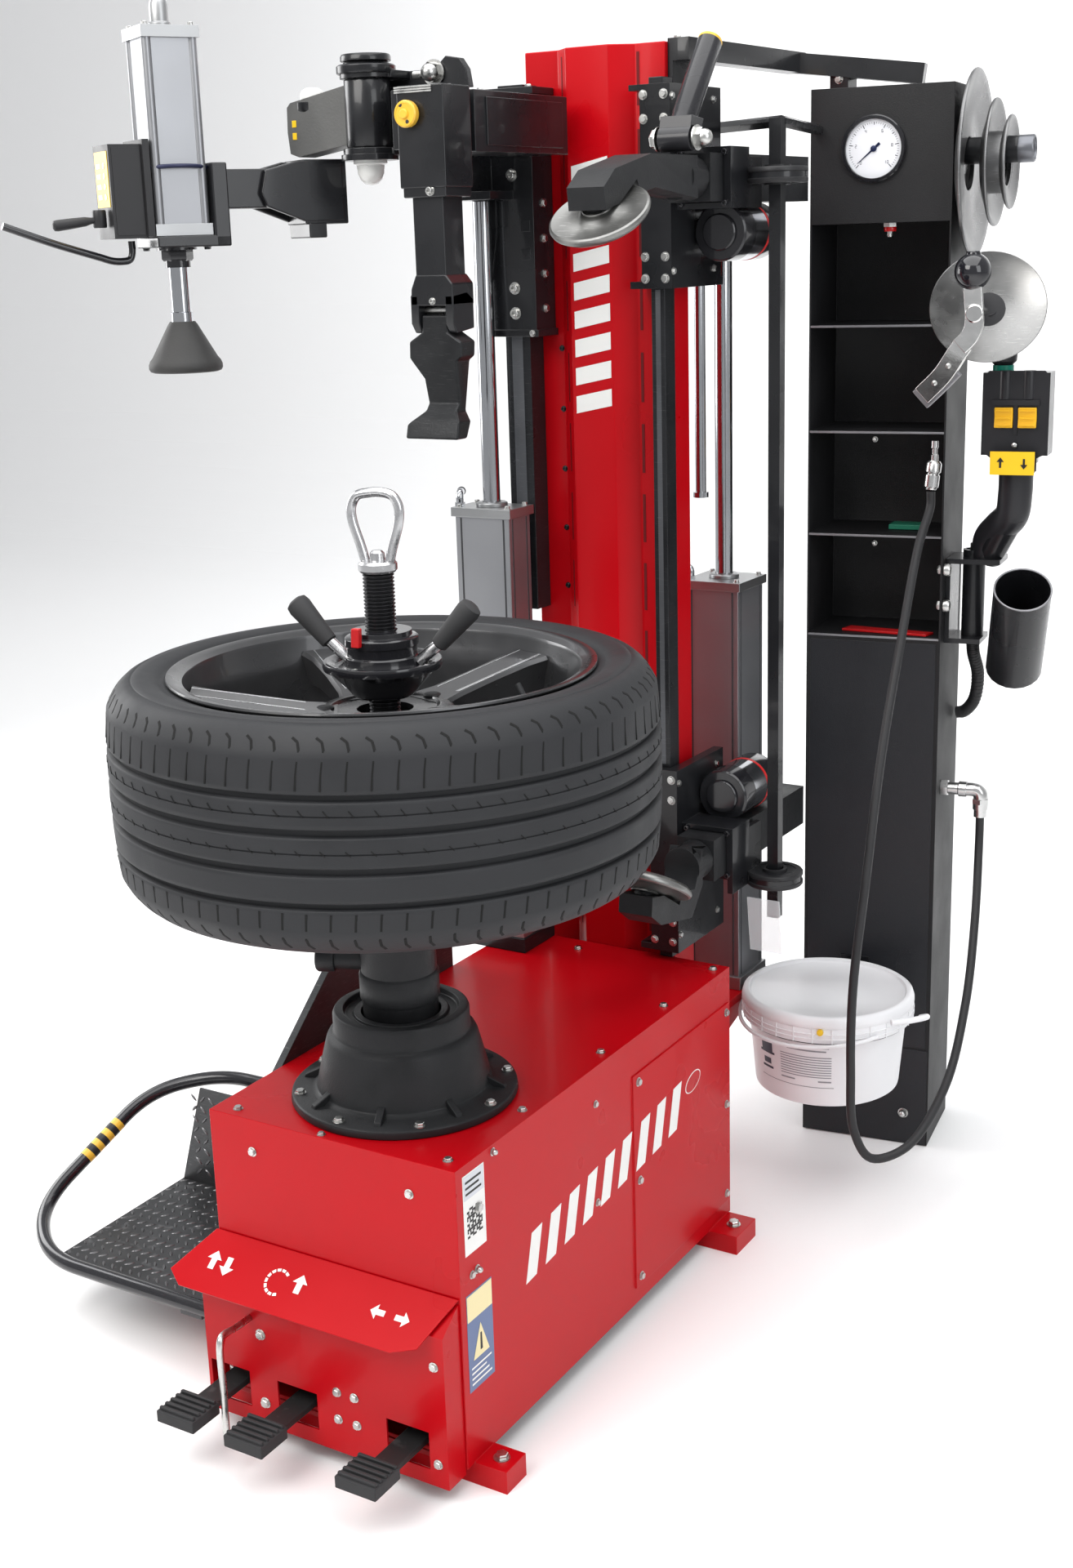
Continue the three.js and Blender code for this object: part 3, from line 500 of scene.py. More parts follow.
def settle(name, mesh, tree, values, paint, body):
    """Runs a node tree over a mesh and keeps what it makes as one piece of a body."""
    holder = bpy.data.objects.new(name + "_source", mesh)
    show(holder)
    nodes = holder.modifiers.new("copies", "NODES")
    nodes.node_group = tree
    for socket in tree.interface.items_tree:
        if socket.in_out == "INPUT" and socket.name in values:
            nodes[socket.identifier] = values[socket.name]
    bpy.context.view_layer.update()
    ready = holder.evaluated_get(bpy.context.evaluated_depsgraph_get())
    made = bpy.data.meshes.new_from_object(ready)
    holder.modifiers.clear()
    bpy.data.objects.remove(holder)
    made.name = name
    made.materials.clear()
    made.materials.append(paint)
    made.polygons.foreach_set("material_index", [0] * len(made.polygons))
    obj = bpy.data.objects.new(name, made)
    show(obj)
    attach(obj, body)


def bolts(name, body, rows, paint=None, kind="hex"):
    """One mesh of bolts for a body. Each row is a place, a facing and a radius in mm."""
    paint = paint or zinc
    mesh = bpy.data.meshes.new(name)
    mesh.from_pydata([tuple(Vector(p)) for p, n, r in rows], [], [])
    mesh.attributes.new("facing", "FLOAT_VECTOR", "POINT")
    mesh.attributes.new("size", "FLOAT", "POINT")
    facing = mesh.attributes["facing"]
    size = mesh.attributes["size"]
    for i, (p, n, r) in enumerate(rows):
        facing.data[i].vector = Vector(n).normalized()
        size.data[i].value = r / 1000
    settle(name, mesh, bolts_on_points, {"Bolt": bolt_kinds[kind], "Plate": paint}, paint,
           body)


carry("chassis_shell", red_enamel, "machine", 3.0, 3)
UP, FRONT, BACK, LEFT, RIGHT = (0, 0, 1), (0, -1, 0), (0, 1, 0), (-1, 0, 0), (1, 0, 0)
chassis_bolts = [
    (at(-165, -150, 454), UP, 6), (at(-20, -160, 454), UP, 5), (at(165, -145, 454), UP, 6),
    (at(172, 20, 454), UP, 6), (at(172, 230, 454), UP, 6), (at(172, 420, 454), UP, 6),
    (at(172, 585, 454), UP, 6), (at(-175, 120, 454), UP, 6), (at(-60, 570, 454), UP, 6),
    (at(-130, -168, 408), FRONT, 6), (at(120, -168, 408), FRONT, 6),
    (at(190, -120, 385), RIGHT, 7), (at(190, -140, 300), RIGHT, 5),
    (at(192.6, 300, 385), RIGHT, 6), (at(192.6, 300, 230), RIGHT, 6),
    (at(192.6, 300, 75), RIGHT, 6), (at(192.6, 588, 385), RIGHT, 6),
    (at(192.6, 588, 230), RIGHT, 6), (at(192.6, 588, 75), RIGHT, 6),
    (at(190, 180, 400), RIGHT, 5), (at(190, 180, 250), RIGHT, 5),
]
bolts("chassis_bolts", "machine", chassis_bolts)
foot_bolts = [(at(x, y, 36), UP, 10) for x in (-226, 216) for y in (-128, 565)]
bolts("foot_anchor_bolts", "machine", foot_bolts)
black_label = finish("label_black", (0.01, 0.01, 0.01), (0.02, 0.02, 0.02), (0.3, 0.4))
white_ink = finish("white_ink", (0.72, 0.72, 0.70), (0.82, 0.82, 0.80), (0.35, 0.5), relief=0.02)
label_yellow = finish("label_yellow", (0.75, 0.46, 0.01), (0.85, 0.55, 0.02), (0.3, 0.4))


bm = bmesh.new()
for k in range(9):
    y = -14 + 50.5 * k
    z = 221 + 4.6 * k
    x = 190.1 if y + 46 < 285 else 192.8
    if x < 191:
        add_slab(bm, [at(x, y, z), at(x, y + 27, z + 2.6), at(x, y + 45, z + 70),
                      at(x, y + 18, z + 67)], (0.0004, 0, 0), 0)
    else:
        add_slab(bm, [at(x, max(y, 286), z), at(x, y + 27, z + 2.6), at(x, y + 45, z + 74),
                      at(x, max(y + 18, 286), z + 71)], (0.0004, 0, 0), 0)
rim_line, middle = [], []
for k in range(40):
    a = 2 * math.pi * k / 40
    rim_line.append(at(192.8, 472 + 25 * math.cos(a), 316 + 15 * math.sin(a) + 4 * math.cos(a)))
    middle.append(at(193.1, 472 + 23 * math.cos(a), 316 + 13.2 * math.sin(a) + 4 * math.cos(a)))
add_slab(bm, rim_line, (0.0003, 0, 0), 0)
add_slab(bm, middle, (0.0003, 0, 0), 1)
piece("side_bars", bm, [white_ink, red_enamel], "machine")
label_blue = finish("label_blue", (0.10, 0.14, 0.26), (0.15, 0.20, 0.34), (0.35, 0.5))
label_pale = finish("label_pale", (0.52, 0.54, 0.58), (0.66, 0.68, 0.72), (0.3, 0.45), relief=0.02)


def side_patch(y0, y1, z0, z1, lift, paint, thick=0.0002):
    """A thin printed rectangle on the chassis' right-hand side."""
    x = 190 + lift
    add_slab(bm, [at(x, y0, z0), at(x, y1, z0), at(x, y1, z1), at(x, y0, z1)], (thick, 0, 0),
             paint)


bm = bmesh.new()
for y0, y1, z0, z1, lift, paint in (
        (-153, -104, 330, 440, 0.1, 3), (-151, -106, 406, 438, 0.5, 1),
        (-156, -97, 138, 276, 0.1, 0), (-155, -98, 238, 274, 0.5, 2)):
    side_patch(y0, y1, z0, z1, lift, paint, 0.0003)
for k in range(3):
    z = 412 + 8 * k
    side_patch(-148, -112 - 5 * (k % 2), z, z + 3, 0.9, 4)
for k in range(12):
    for n in range(12):
        if (k * 7 + n * 11 + k * n) % 5 in (0, 2, 3):
            y, z = -146 + 2.9 * k, 352 + 3.4 * n
            side_patch(y, y + 2.5, z, z + 3, 0.5, 4)
add_slab(bm, [at(190.6, -145, 180), at(190.6, -108, 180), at(190.6, -126.5, 226)],
         (0.0003, 0, 0), 2)
add_slab(bm, [at(191.0, -129, 188), at(191.0, -124, 188), at(191.0, -125, 212),
              at(191.0, -128, 212)], (0.0003, 0, 0), 4)
for k in range(4):
    z = 146 + 7.5 * k
    side_patch(-150, -104 - 6 * (k % 3), z, z + 2.4, 0.6, 3)
label_cream = finish("label_cream", (0.72, 0.62, 0.34), (0.82, 0.72, 0.42), (0.35, 0.5))
piece("side_labels", bm, [label_blue, label_pale, label_cream, white_ink, black_label],
      "machine")
bm = bmesh.new()
add_block(bm, -150, 140, 606.6, 608.4, 70, 300)
piece("rear_access_plate", bm, [red_enamel], "machine", rounding=0.6)
bolts("rear_plate_screws", "machine",
      [(at(x, 608.4, z), BACK, 5) for x in (-138, 128) for z in (82, 288)], zinc, "dome")
bolts("side_screws", "machine",
      [(at(190, -82, 444), RIGHT, 5), (at(190, -128, 302), RIGHT, 5.5)], zinc, "dome")

# ---- pedals and their cover ---------------------------------------------------------
# Three foot pedals of flat bar with ribbed rubber pads reach out through slots
# below a sloping sheet cover, with a bent wire guard that keeps feet off.
carry("pedal_housing", red_enamel, "machine", 1.5)
carry("pedal_cover", red_enamel, "machine", 1.0)
pedal_rubber = finish("pedal_rubber", (0.014, 0.014, 0.015), (0.04, 0.04, 0.042), (0.55, 0.8),
                      grain=500, patch=30, relief=0.3, depth=0.0005)
pedal_steel = finish("pedal_steel", (0.015, 0.015, 0.016), (0.03, 0.03, 0.03), (0.35, 0.55),
                     0.2, grain=700, relief=0.1, scratch=0.3)
pedal_bodies = {"pedal_1": ("pedal_left", -164), "pedal_2": ("pedal_middle", -51),
                "pedal_3": ("pedal_right", 126)}
for node, (body, x) in pedal_bodies.items():
    bm = bmesh.new()
    add_block(bm, x - 18, x + 18, -286, -104, 70, 79, 1)
    add_pipe(bm, [at(x - 22, -108, 74), at(x + 22, -108, 74)], 0.011, 20, 1)
    add_block(bm, x - 31, x + 31, -322, -268, 72, 89, 0)
    for k in range(5):
        y = -318 + k * 10.4
        add_block(bm, x - 29, x + 29, y, y + 5.2, 88, 93.5, 0)
    piece(node + "_pad", bm, [pedal_rubber, pedal_steel], body, [node], 1.6, 2)
foot_guard = [at(-124, -205, 184), at(-116, -245, 192), at(-110, -278, 199), at(-108, -285, 193),
              at(-108, -285, 120), at(-108, -285, 48), at(-108, -280, 41), at(-108, -258, 33)]
bm = bmesh.new()
add_pipe(bm, spline_points(foot_guard, 6), 0.0046, 20)
piece("foot_guard_rod", bm, [zinc], "machine")
cover_turn = Matrix.Rotation(math.radians(38), 3, "X")


def cover_at(x, y, z):
    p = cover_turn @ Vector((x, y, z))
    return at(p.x, p.y - 168.6, p.z + 277.5)


def add_arrow(bm, x, y, size, turn):
    shape = [(-0.35, -1), (0.35, -1), (0.35, 0.1), (0.9, 0.1), (0, 1), (-0.9, 0.1), (-0.35, 0.1)]
    c, s = math.cos(turn), math.sin(turn)
    add_slab(bm, [cover_at(x + size * (u * c - v * s), y + size * (u * s + v * c), 2.9)
                  for u, v in shape], cover_turn @ Vector((0, 0, 0.0004)))


bm = bmesh.new()
for x, y, size, turn in ((-180, -42, 13, 0), (-156, -46, 13, math.pi), (-38, -40, 13, 0),
                         (88, -44, 11, math.pi / 2), (126, -44, 11, -math.pi / 2)):
    add_arrow(bm, x, y, size, turn)
for k in range(10):
    a, b = 2 * math.pi * k / 14 + 0.8, 2 * math.pi * (k + 0.72) / 14 + 0.8
    add_slab(bm, [cover_at(-72 + r * math.cos(t), -46 + r * math.sin(t), 2.9)
                  for r, t in ((15, a), (19, a), (19, b), (15, b))],
             cover_turn @ Vector((0, 0, 0.0004)), 0)
piece("cover_signs", bm, [white_ink], "machine")
front_bolts = [
    (at(-190, -207, 222), FRONT, 6), (at(-150, -207, 222), FRONT, 5),
    (at(-106, -207, 165), FRONT, 7), (at(-106, -207, 62), FRONT, 7),
    (at(16, -207, 116), FRONT, 6), (at(44, -207, 116), FRONT, 6), (at(16, -207, 76), FRONT, 6),
    (at(46, -207, 76), FRONT, 6), (at(172, -207, 200), FRONT, 6), (at(172, -207, 60), FRONT, 6),
]
bolts("front_bolts", "machine", front_bolts)

# ---- drive, bell and spindle ----------------------------------------------------------
# The gearbox inside drives a hollow cast spindle that rises through a ribbed
# bell bolted to the chassis top. The castings are sprayed matt black.
black_cast = finish("black_casting", (0.008, 0.0085, 0.009), (0.024, 0.0245, 0.027), (0.38, 0.6),
                    0.25, grain=420, patch=16, relief=0.35, depth=0.0008)
carry("drive_unit", black_cast, "machine", 2.0)
bm = bmesh.new()
add_turning(bm, [[53, 454.3], [151, 454.3], [152, 457], [151, 465], [148, 467], [124, 469],
                 [117, 474], [113, 490], [107, 515], [101, 538], [98, 544], [92, 548], [91, 552],
                 [91, 572], [89, 577], [85, 578], [77, 578], [75, 570], [64, 569], [63, 573],
                 [53, 573], [53, 454.3]],
            home, UP, 96)
for k in range(8):
    a = 2 * math.pi * k / 8 + 0.35
    c, s = math.cos(a), math.sin(a)

    def rib_at(r, t, z, c=c, s=s):
        return at(r * c - t * s, r * s + t * c, z)

    outline = [rib_at(96, -5, 466), rib_at(140, -5, 466), rib_at(138, -5, 472),
               rib_at(122, -5, 480), rib_at(110, -5, 486), rib_at(96, -5, 486)]
    add_slab(bm, outline, rib_at(0, 10, 0) - rib_at(0, 0, 0))
piece("bell", bm, [black_cast], "machine", ["bell_housing"], 1.5, 2)
bell_bolts = []
for k in range(8):
    a = 2 * math.pi * (k + 0.5) / 8 + 0.35
    bell_bolts.append((at(140 * math.cos(a), 140 * math.sin(a), 467.5), UP, 7))
bolts("bell_bolts", "machine", bell_bolts)
bm = bmesh.new()
add_turning(bm, [[24, 190], [50, 190], [50, 588], [51, 591], [53, 594], [53, 626], [51, 629],
                 [50, 630], [50, 742], [50.8, 744], [50.8, 756], [50, 758], [50, 928], [48, 930],
                 [24, 930], [24, 190]], home, UP, 96)
piece("spindle", bm, [black_cast], "spindle", ["spindle_tube"])
red_plastic = finish("red_plastic", (0.42, 0.004, 0.006), (0.55, 0.01, 0.012), (0.25, 0.35),
                  coat=0.3, relief=0.04)
bm = bmesh.new()
way = (at(-102, -42, 642) - at(-50, -20, 642)).normalized()
add_turning(bm, [[0, -8], [15, -8], [15, 30], [18, 31], [19, 34], [19, 53], [17, 56], [12, 56],
                 [11, 52], [0, 52]], at(-50, -20, 642), way, 40)
piece("spindle_side_knob", bm, [black_cast], "spindle")
bm = bmesh.new()
add_turning(bm, [[21, 930.3], [103, 930.3], [107, 934], [108, 938], [108, 945], [105, 948],
                 [21, 948], [21, 930.3]], home, UP, 96)
piece("turntable", bm, [black_cast], "spindle")

# ---- tyre -----------------------------------------------------------------------------
# A low profile road tyre lying flat on the turntable: four round grooves, shallow
# cuts across both shoulders, and a plain moulded sidewall. Dull carbon black rubber.
WHEEL = 906.0
tyre_rubber = finish("tyre_rubber", (0.010, 0.0105, 0.012), (0.028, 0.029, 0.032), (0.5, 0.72),
                     grain=380, patch=9, relief=0.22, depth=0.0006)
# The near-black for the shoulder cuts and tread nicks is painted shade inside the cuts.
painted_cut_shade = finish("painted_cut_shade", (0.004, 0.004, 0.004), (0.008, 0.008, 0.008), (0.8, 0.9),
                       grain=300, relief=0.1)


def tread_height(z):
    """The tread's radius at a height, before its grooves."""
    t = abs(z - WHEEL)
    return 350.0 - 4.5 * (t / 100.0) ** 2.2


grooves = [(963.0, 5.5), (922.5, 6.0), (877.0, 6.0), (836.0, 5.5)]
outline = []
z = WHEEL + 104.0
while z >= WHEEL - 104.0:
    outline.append([tread_height(z), z])
    z -= 4.0
profile = []
for r, z in outline:
    if all(abs(z - g) > w + 1.5 for g, w in grooves):
        profile.append([r, z])
for g, w in grooves:
    for dz, dr in ((w, 0), (w - 1.2, 1.2), (w - 2.6, 7.5), (2.6 - w, 7.5), (1.2 - w, 1.2), (-w, 0)):
        profile.append([tread_height(g + dz) - dr, g + dz])
for g in (943.0, 899.0):
    for dz, dr in ((1.0, 0), (0.6, 1.4), (-0.6, 1.4), (-1.0, 0)):
        profile.append([tread_height(g + dz) - dr, g + dz])
profile.sort(key=lambda p: -p[1])
top_side = [[256.6, 1024], [259, 1029], [266, 1032.5], [274, 1035.5], [280, 1036], [282, 1038.5],
            [290, 1041], [302, 1043], [312, 1042.4], [313, 1041.2], [315, 1041.2], [316, 1041.6],
            [324, 1038], [331, 1032], [337, 1024.5], [341.5, 1017]]
under_side = [[r, 2 * WHEEL - z] for r, z in reversed(top_side)]
bm = bmesh.new()
add_turning(bm, [*top_side, *profile, *under_side, [256.6, 788], [256.6, 1024]],
            home, UP, 240)
piece("tyre_body", bm, [tyre_rubber], "spindle", ["tyre"], crease=50)


def cut_tree():
    """Shallow cuts spaced round a shoulder: one cut, turned about the axle."""
    tree, source, result = new_tree(
        "shoulder_cuts", "GeometryNodeTree",
        [("Cut", "Geometry"), ("Count", "Int"), ("Axle", "Vector"), ("Rubber", "Material")],
        [("Cuts", "Geometry")])
    new = tree.nodes.new
    points = new("GeometryNodePoints")
    index = new("GeometryNodeInputIndex")
    share = new("ShaderNodeMath")
    share.operation = "DIVIDE"
    angle = new("ShaderNodeMath")
    angle.operation = "MULTIPLY"
    angle.inputs[1].default_value = 2 * math.pi
    turn = new("ShaderNodeCombineXYZ")
    copies = new("GeometryNodeInstanceOnPoints")
    real = new("GeometryNodeRealizeInstances")
    rubber = new("GeometryNodeSetMaterial")
    wire(tree, [
        (source, "Count", points, "Count"), (source, "Axle", points, "Position"),
        (index, "Index", share, 0), (source, "Count", share, 1), (share, 0, angle, 0),
        (angle, 0, turn, "Z"), (points, 0, copies, "Points"), (source, "Cut", copies, "Instance"),
        (turn, "Vector", copies, "Rotation"), (copies, "Instances", real, "Geometry"),
        (real, "Geometry", rubber, "Geometry"), (source, "Rubber", rubber, "Material"),
        (rubber, "Geometry", result, "Cuts")])
    return tree


shoulder_cuts = cut_tree()


def round_axle(name, bm, count, paint, body):
    """Repeats a small mesh, modelled about the origin's Z axis, round the spindle."""
    mesh = bpy.data.meshes.new(name)
    bm.to_mesh(mesh)
    bm.free()
    settle(name, mesh, shoulder_cuts, {"Count": count, "Axle": tuple(home), "Rubber": paint},
           paint, body)


def cut_strip(bm, path, width, lift=0.35):
    """A dark sliver lying on the tyre along [radius, height, sideways] points in mm, in painted
    shade standing for a cut.
    """
    for (r0, z0, t0), (r1, z1, t1) in zip(path, path[1:]):
        along = Vector((r1 - r0, t1 - t0, z1 - z0)).normalized()
        out = Vector((z0 - z1, 0, r1 - r0)).normalized()
        if out.x < 0:
            out = -out
        side = along.cross(out).normalized() * (width / 2)
        a = Vector((r0, t0, z0)) + out * lift
        b = Vector((r1, t1, z1)) + out * lift
        ring = [a - side, b - side, b + side, a + side]
        deep = [p - out * 1.2 for p in ring]
        top = [bm.verts.new(p / 1000) for p in ring]
        low_ring = [bm.verts.new(p / 1000) for p in deep]
        bm.faces.new(top)
        bm.faces.new(list(reversed(low_ring)))
        for i in range(4):
            n = (i + 1) % 4
            bm.faces.new((top[i], low_ring[i], low_ring[n], top[n]))
    bmesh.ops.recalc_face_normals(bm, faces=bm.faces)


# The cuts are thin near-black slivers in painted shade.
bm = bmesh.new()
cut_strip(bm, [(348.9, 972, -2), (346.9, 990, -0.5), (345.6, 1004, 1.5), (341.6, 1016.8, 3)], 2.0)
cut_strip(bm, [(341.7, 1016.6, 3.4), (336.5, 1025, 1.0), (333.0, 1029.4, -6)], 3.2)
round_axle("shoulder_cuts_top", bm, 76, painted_cut_shade, "spindle")
bm = bmesh.new()
cut_strip(bm, [(347.8, 828, 2), (346.6, 820, 1), (345.6, 808, 0), (341.6, 795.2, -2)], 2.6)
cut_strip(bm, [(341.7, 795.4, -2), (336.5, 787, -1), (331.5, 781, 4)], 3.4)
round_axle("shoulder_cuts_bottom", bm, 76, painted_cut_shade, "spindle")
bm = bmesh.new()
cut_strip(bm, [(350.1, 903, -6), (350.1, 897, 0)], 1.2)
cut_strip(bm, [(349.6, 950, 0), (349.8, 942, 6)], 1.2)
round_axle("tread_nicks", bm, 76, painted_cut_shade, "spindle")

# ---- rim --------------------------------------------------------------------------------
# A cast alloy wheel painted graphite, five broad flat spokes with a bright
# machined line along one edge, a stepped barrel and a thick lip.
graphite = finish("graphite_paint", (0.035, 0.036, 0.038), (0.075, 0.075, 0.078), (0.24, 0.36),
                  0.6, coat=0.35, patch=12)
machined = finish("machined_edge", (0.62, 0.63, 0.64), (0.78, 0.78, 0.79), (0.18, 0.3), 1.0,
                  relief=0.03)
bm = bmesh.new()
add_turning(bm, [[236, 784], [256, 784], [256, 1029.5], [262, 1033.5], [270, 1036.2],
                 [271.5, 1038.5], [270.5, 1041], [266, 1041.3], [259, 1038.5], [251, 1035],
                 [249.5, 1031], [249, 1016], [246, 1010], [243, 985], [241, 940], [239, 860],
                 [236, 784]], home, UP, 160)
add_turning(bm, [[36, 948.5], [90, 948.5], [93, 960], [88, 982], [82, 986], [70, 987],
                 [66, 983], [36, 983], [36, 948.5]], home, UP, 96)
for k in range(5):
    a = math.radians(72 * k)
    c, s = math.cos(a), math.sin(a)

    def spoke_at(r, t, z, c=c, s=s):
        return at(r * c - t * s, r * s + t * c, z)

    rows = [(60, 40, 984, 952), (100, 31, 990, 955), (160, 29, 1001, 962), (215, 31, 1011, 968),
            (243, 38, 1016, 970)]
    rings = []
    for r, w, top, under in rows:
        ring = [spoke_at(r, -w, top - 5), spoke_at(r, -w + 4, top), spoke_at(r, w - 4, top),
                spoke_at(r, w, top - 5), spoke_at(r, w - 8, under), spoke_at(r, -w + 8, under)]
        rings.append([bm.verts.new(p) for p in ring])
    for i in range(len(rings) - 1):
        for j in range(6):
            n = (j + 1) % 6
            bm.faces.new((rings[i][j], rings[i + 1][j], rings[i + 1][n], rings[i][n]))
    bm.faces.new(rings[0])
    bm.faces.new(list(reversed(rings[-1])))
    for t, w in ((-21, 2.6), (20, 0.9)):
        for (r0, _, z0, _), (r1, _, z1, _) in zip(rows[1:], rows[2:]):
            add_slab(bm, [spoke_at(r0, t - w, z0 + 0.1), spoke_at(r1, t - w, z1 + 0.1),
                          spoke_at(r1, t + w, z1 + 0.1), spoke_at(r0, t + w, z0 + 0.1)],
                     (0, 0, 0.0005), 1)
    add_turning(bm, [[0, 0], [12, 0], [12, 3], [9, 5], [0, 5]], spoke_at(76, 0, 984), UP, 20, 2)
bmesh.ops.recalc_face_normals(bm, faces=bm.faces)
piece("rim_casting", bm, [graphite, machined, black_cast], "spindle",
      ["rim", "rim_centre"], 1.6, 2)
bm = bmesh.new()
add_turning(bm, [[0, 6], [7.5, 6], [9, 4], [9, 0], [0, 0]], at(238, -40, 1020),
            (-0.9, 0.15, 0.4), 16)
add_pipe(bm, [at(236, -40, 1022), at(222, -36, 1042)], 0.0035, 12)
piece("valve_stem", bm, [black_cast], "spindle")

# ---- clamp --------------------------------------------------------------------------------
# The threaded clamp screw with its forged ring handle, and the quick nut on it: a
# turned black bowl with two rubber grips and a red release tab.
thread_steel = finish("thread_steel", (0.03, 0.03, 0.032), (0.07, 0.07, 0.075), (0.22, 0.34), 0.9,
                      grain=600)
forged = finish("forged_zinc", (0.48, 0.48, 0.49), (0.68, 0.68, 0.69), (0.2, 0.34), 1.0,
                grain=200, patch=40, relief=0.25, depth=0.0006)
bm = bmesh.new()
thread = [[0, 800], [17, 800]]
z = 802.0
while z < 1156:
    thread += [[17.6, z], [19.9, z + 1.6], [19.9, z + 2.6], [17.6, z + 4.2]]
    z += 4.6
thread += [[17, 1158], [0, 1158]]
add_turning(bm, thread, home, UP, 48, 1)
add_turning(bm, [[0, 1157], [22, 1157], [24.5, 1160], [24.5, 1168], [22, 1171], [10, 1172],
                 [9, 1181], [6, 1184], [0, 1184]], home, UP, 48, 0)
ring_turn = math.radians(10)


def ring_at(x, z):
    return at(x * math.cos(ring_turn), x * math.sin(ring_turn), z)


ring_knots = [ring_at(16, 1166), ring_at(21, 1186), ring_at(32, 1222), ring_at(32, 1240),
              ring_at(24, 1252), ring_at(8, 1256), ring_at(-8, 1255), ring_at(-24, 1251),
              ring_at(-32, 1238), ring_at(-32, 1222), ring_at(-21, 1186), ring_at(-16, 1166)]
add_pipe(bm, spline_points(ring_knots, 5), 0.0062, 18, 0)
piece("clamp_screw_steel", bm, [forged, thread_steel], "spindle", ["clamp_screw"],
      crease=30)
grip_rubber = finish("grip_rubber", (0.02, 0.02, 0.021), (0.05, 0.05, 0.052), (0.6, 0.8),
                     grain=500, relief=0.35)
black_gloss = finish("black_gloss", (0.008, 0.008, 0.010), (0.018, 0.018, 0.021), (0.14, 0.26),
                     0.1, coat=0.5, grain=700, patch=8, relief=0.04)
bm = bmesh.new()
add_turning(bm, [[20.6, 1000], [36, 1000], [40, 1003], [48, 1013], [69, 1034], [75, 1036],
                 [76.5, 1040], [75, 1046], [72, 1047], [66, 1045], [60, 1040], [48, 1040],
                 [46.5, 1044], [46.5, 1051], [44.5, 1053], [44.5, 1064], [46.5, 1066],
                 [46.5, 1075], [44, 1077], [39, 1078], [38.5, 1084], [20.6, 1084],
                 [20.6, 1000]], home, UP, 72, 0)
for cx, cy in ((-0.9, -0.15), (0.86, 0.3)):
    add_pipe(bm, [at(cx * 52, cy * 52, 1044), at(cx * 84, cy * 84, 1068)], 0.0075, 18, 2)
    foot = at(cx * 80, cy * 80, 1064)
    tip = at(cx * 132, cy * 132, 1116)
    add_pipe(bm, [foot + (tip - foot) * t for t in (0, 0.03, 0.2, 0.5, 0.85, 0.96, 1.0)],
             [0.008, 0.0108, 0.0118, 0.0135, 0.0155, 0.0140, 0.009], 28, 1)
for k in range(3):
    a = 2 * math.pi * k / 3 + 0.5
    add_screwhead(bm, at(58 * math.cos(a), 58 * math.sin(a), 1040), UP, 5, 3, "socket")
piece("clamp_nut_bowl", bm, [black_gloss, grip_rubber, forged, zinc], "clamp", ["clamp_nut"],
      0.6, 2)
bm = bmesh.new()
add_slab(bm, [at(-8, -55, 1070), at(4, -55, 1070), at(4, -53, 1094), at(-8, -53, 1094)],
         (0, 0.008, 0))
piece("release_tab", bm, [red_plastic], "clamp_release", ["nut_button"], 1.6, 3)

# ---- column and rails -----------------------------------------------------------------
# A folded red column with a raised rib up its front, slotted where its plates are
# plug welded together. Two black slide rails are bolted to it, and it stands on
# a gusseted foot plate.
carry("column", red_enamel, "machine", 2.5, 3)
carry("column_base", red_enamel, "machine", 1.5)
slot_shadow = finish("slot_shadow", (0.10, 0.001, 0.003), (0.16, 0.002, 0.004), (0.5, 0.7))
bm = bmesh.new()
for x0, y0, x1, y1, depth in ((-80, 620.8, -77, 618.0, (-0.0003, -0.0003, 0)),
                              (37, 631.9, 41.5, 631.9, (0, -0.0005, 0))):
    for z in range(480, 1780, 104):
        add_slab(bm, [at(x0, y0, z), at(x1, y1, z), at(x1, y1, z + 72), at(x0, y0, z + 72)],
                 depth)
piece("column_slots", bm, [slot_shadow], "machine")
bm = bmesh.new()
for k in range(9):
    z = 1296 + k * 41
    add_slab(bm, [at(-60, 607.9, z), at(0, 607.9, z + 12), at(0, 607.9, z + 37),
                  at(-60, 607.9, z + 25)], (0, -0.0005, 0))
piece("column_bars", bm, [white_ink], "machine")
rail_black = finish("rail_black", (0.008, 0.0085, 0.0095), (0.02, 0.021, 0.024), (0.25, 0.42),
                    0.3, coat=0.15, grain=800, patch=10, relief=0.1, scratch=0.35)
rail_channel = finish("rail_channel", (0.075, 0.08, 0.088), (0.13, 0.135, 0.145), (0.3, 0.45),
                      0.6, grain=600, relief=0.1, scratch=0.3)
carry("rail_left", rail_black, "machine", 1.2)
carry("rail_right", rail_black, "machine", 1.2)
bm = bmesh.new()
add_block(bm, -161, -142, 591.8, 592.6, 1000, 1410)
add_block(bm, 79, 87, 599.85, 600.6, 770, 1474)
piece("rail_grooves", bm, [rail_channel], "machine")
rail_bolts = []
for z in range(1030, 1400, 90):
    rail_bolts.append((at(-97, 632, z), FRONT, 4))
for z in range(820, 1460, 106):
    rail_bolts.append((at(62, 632, z), FRONT, 4.5))
bolts("rail_bolts", "machine", rail_bolts, black_gloss, "socket")

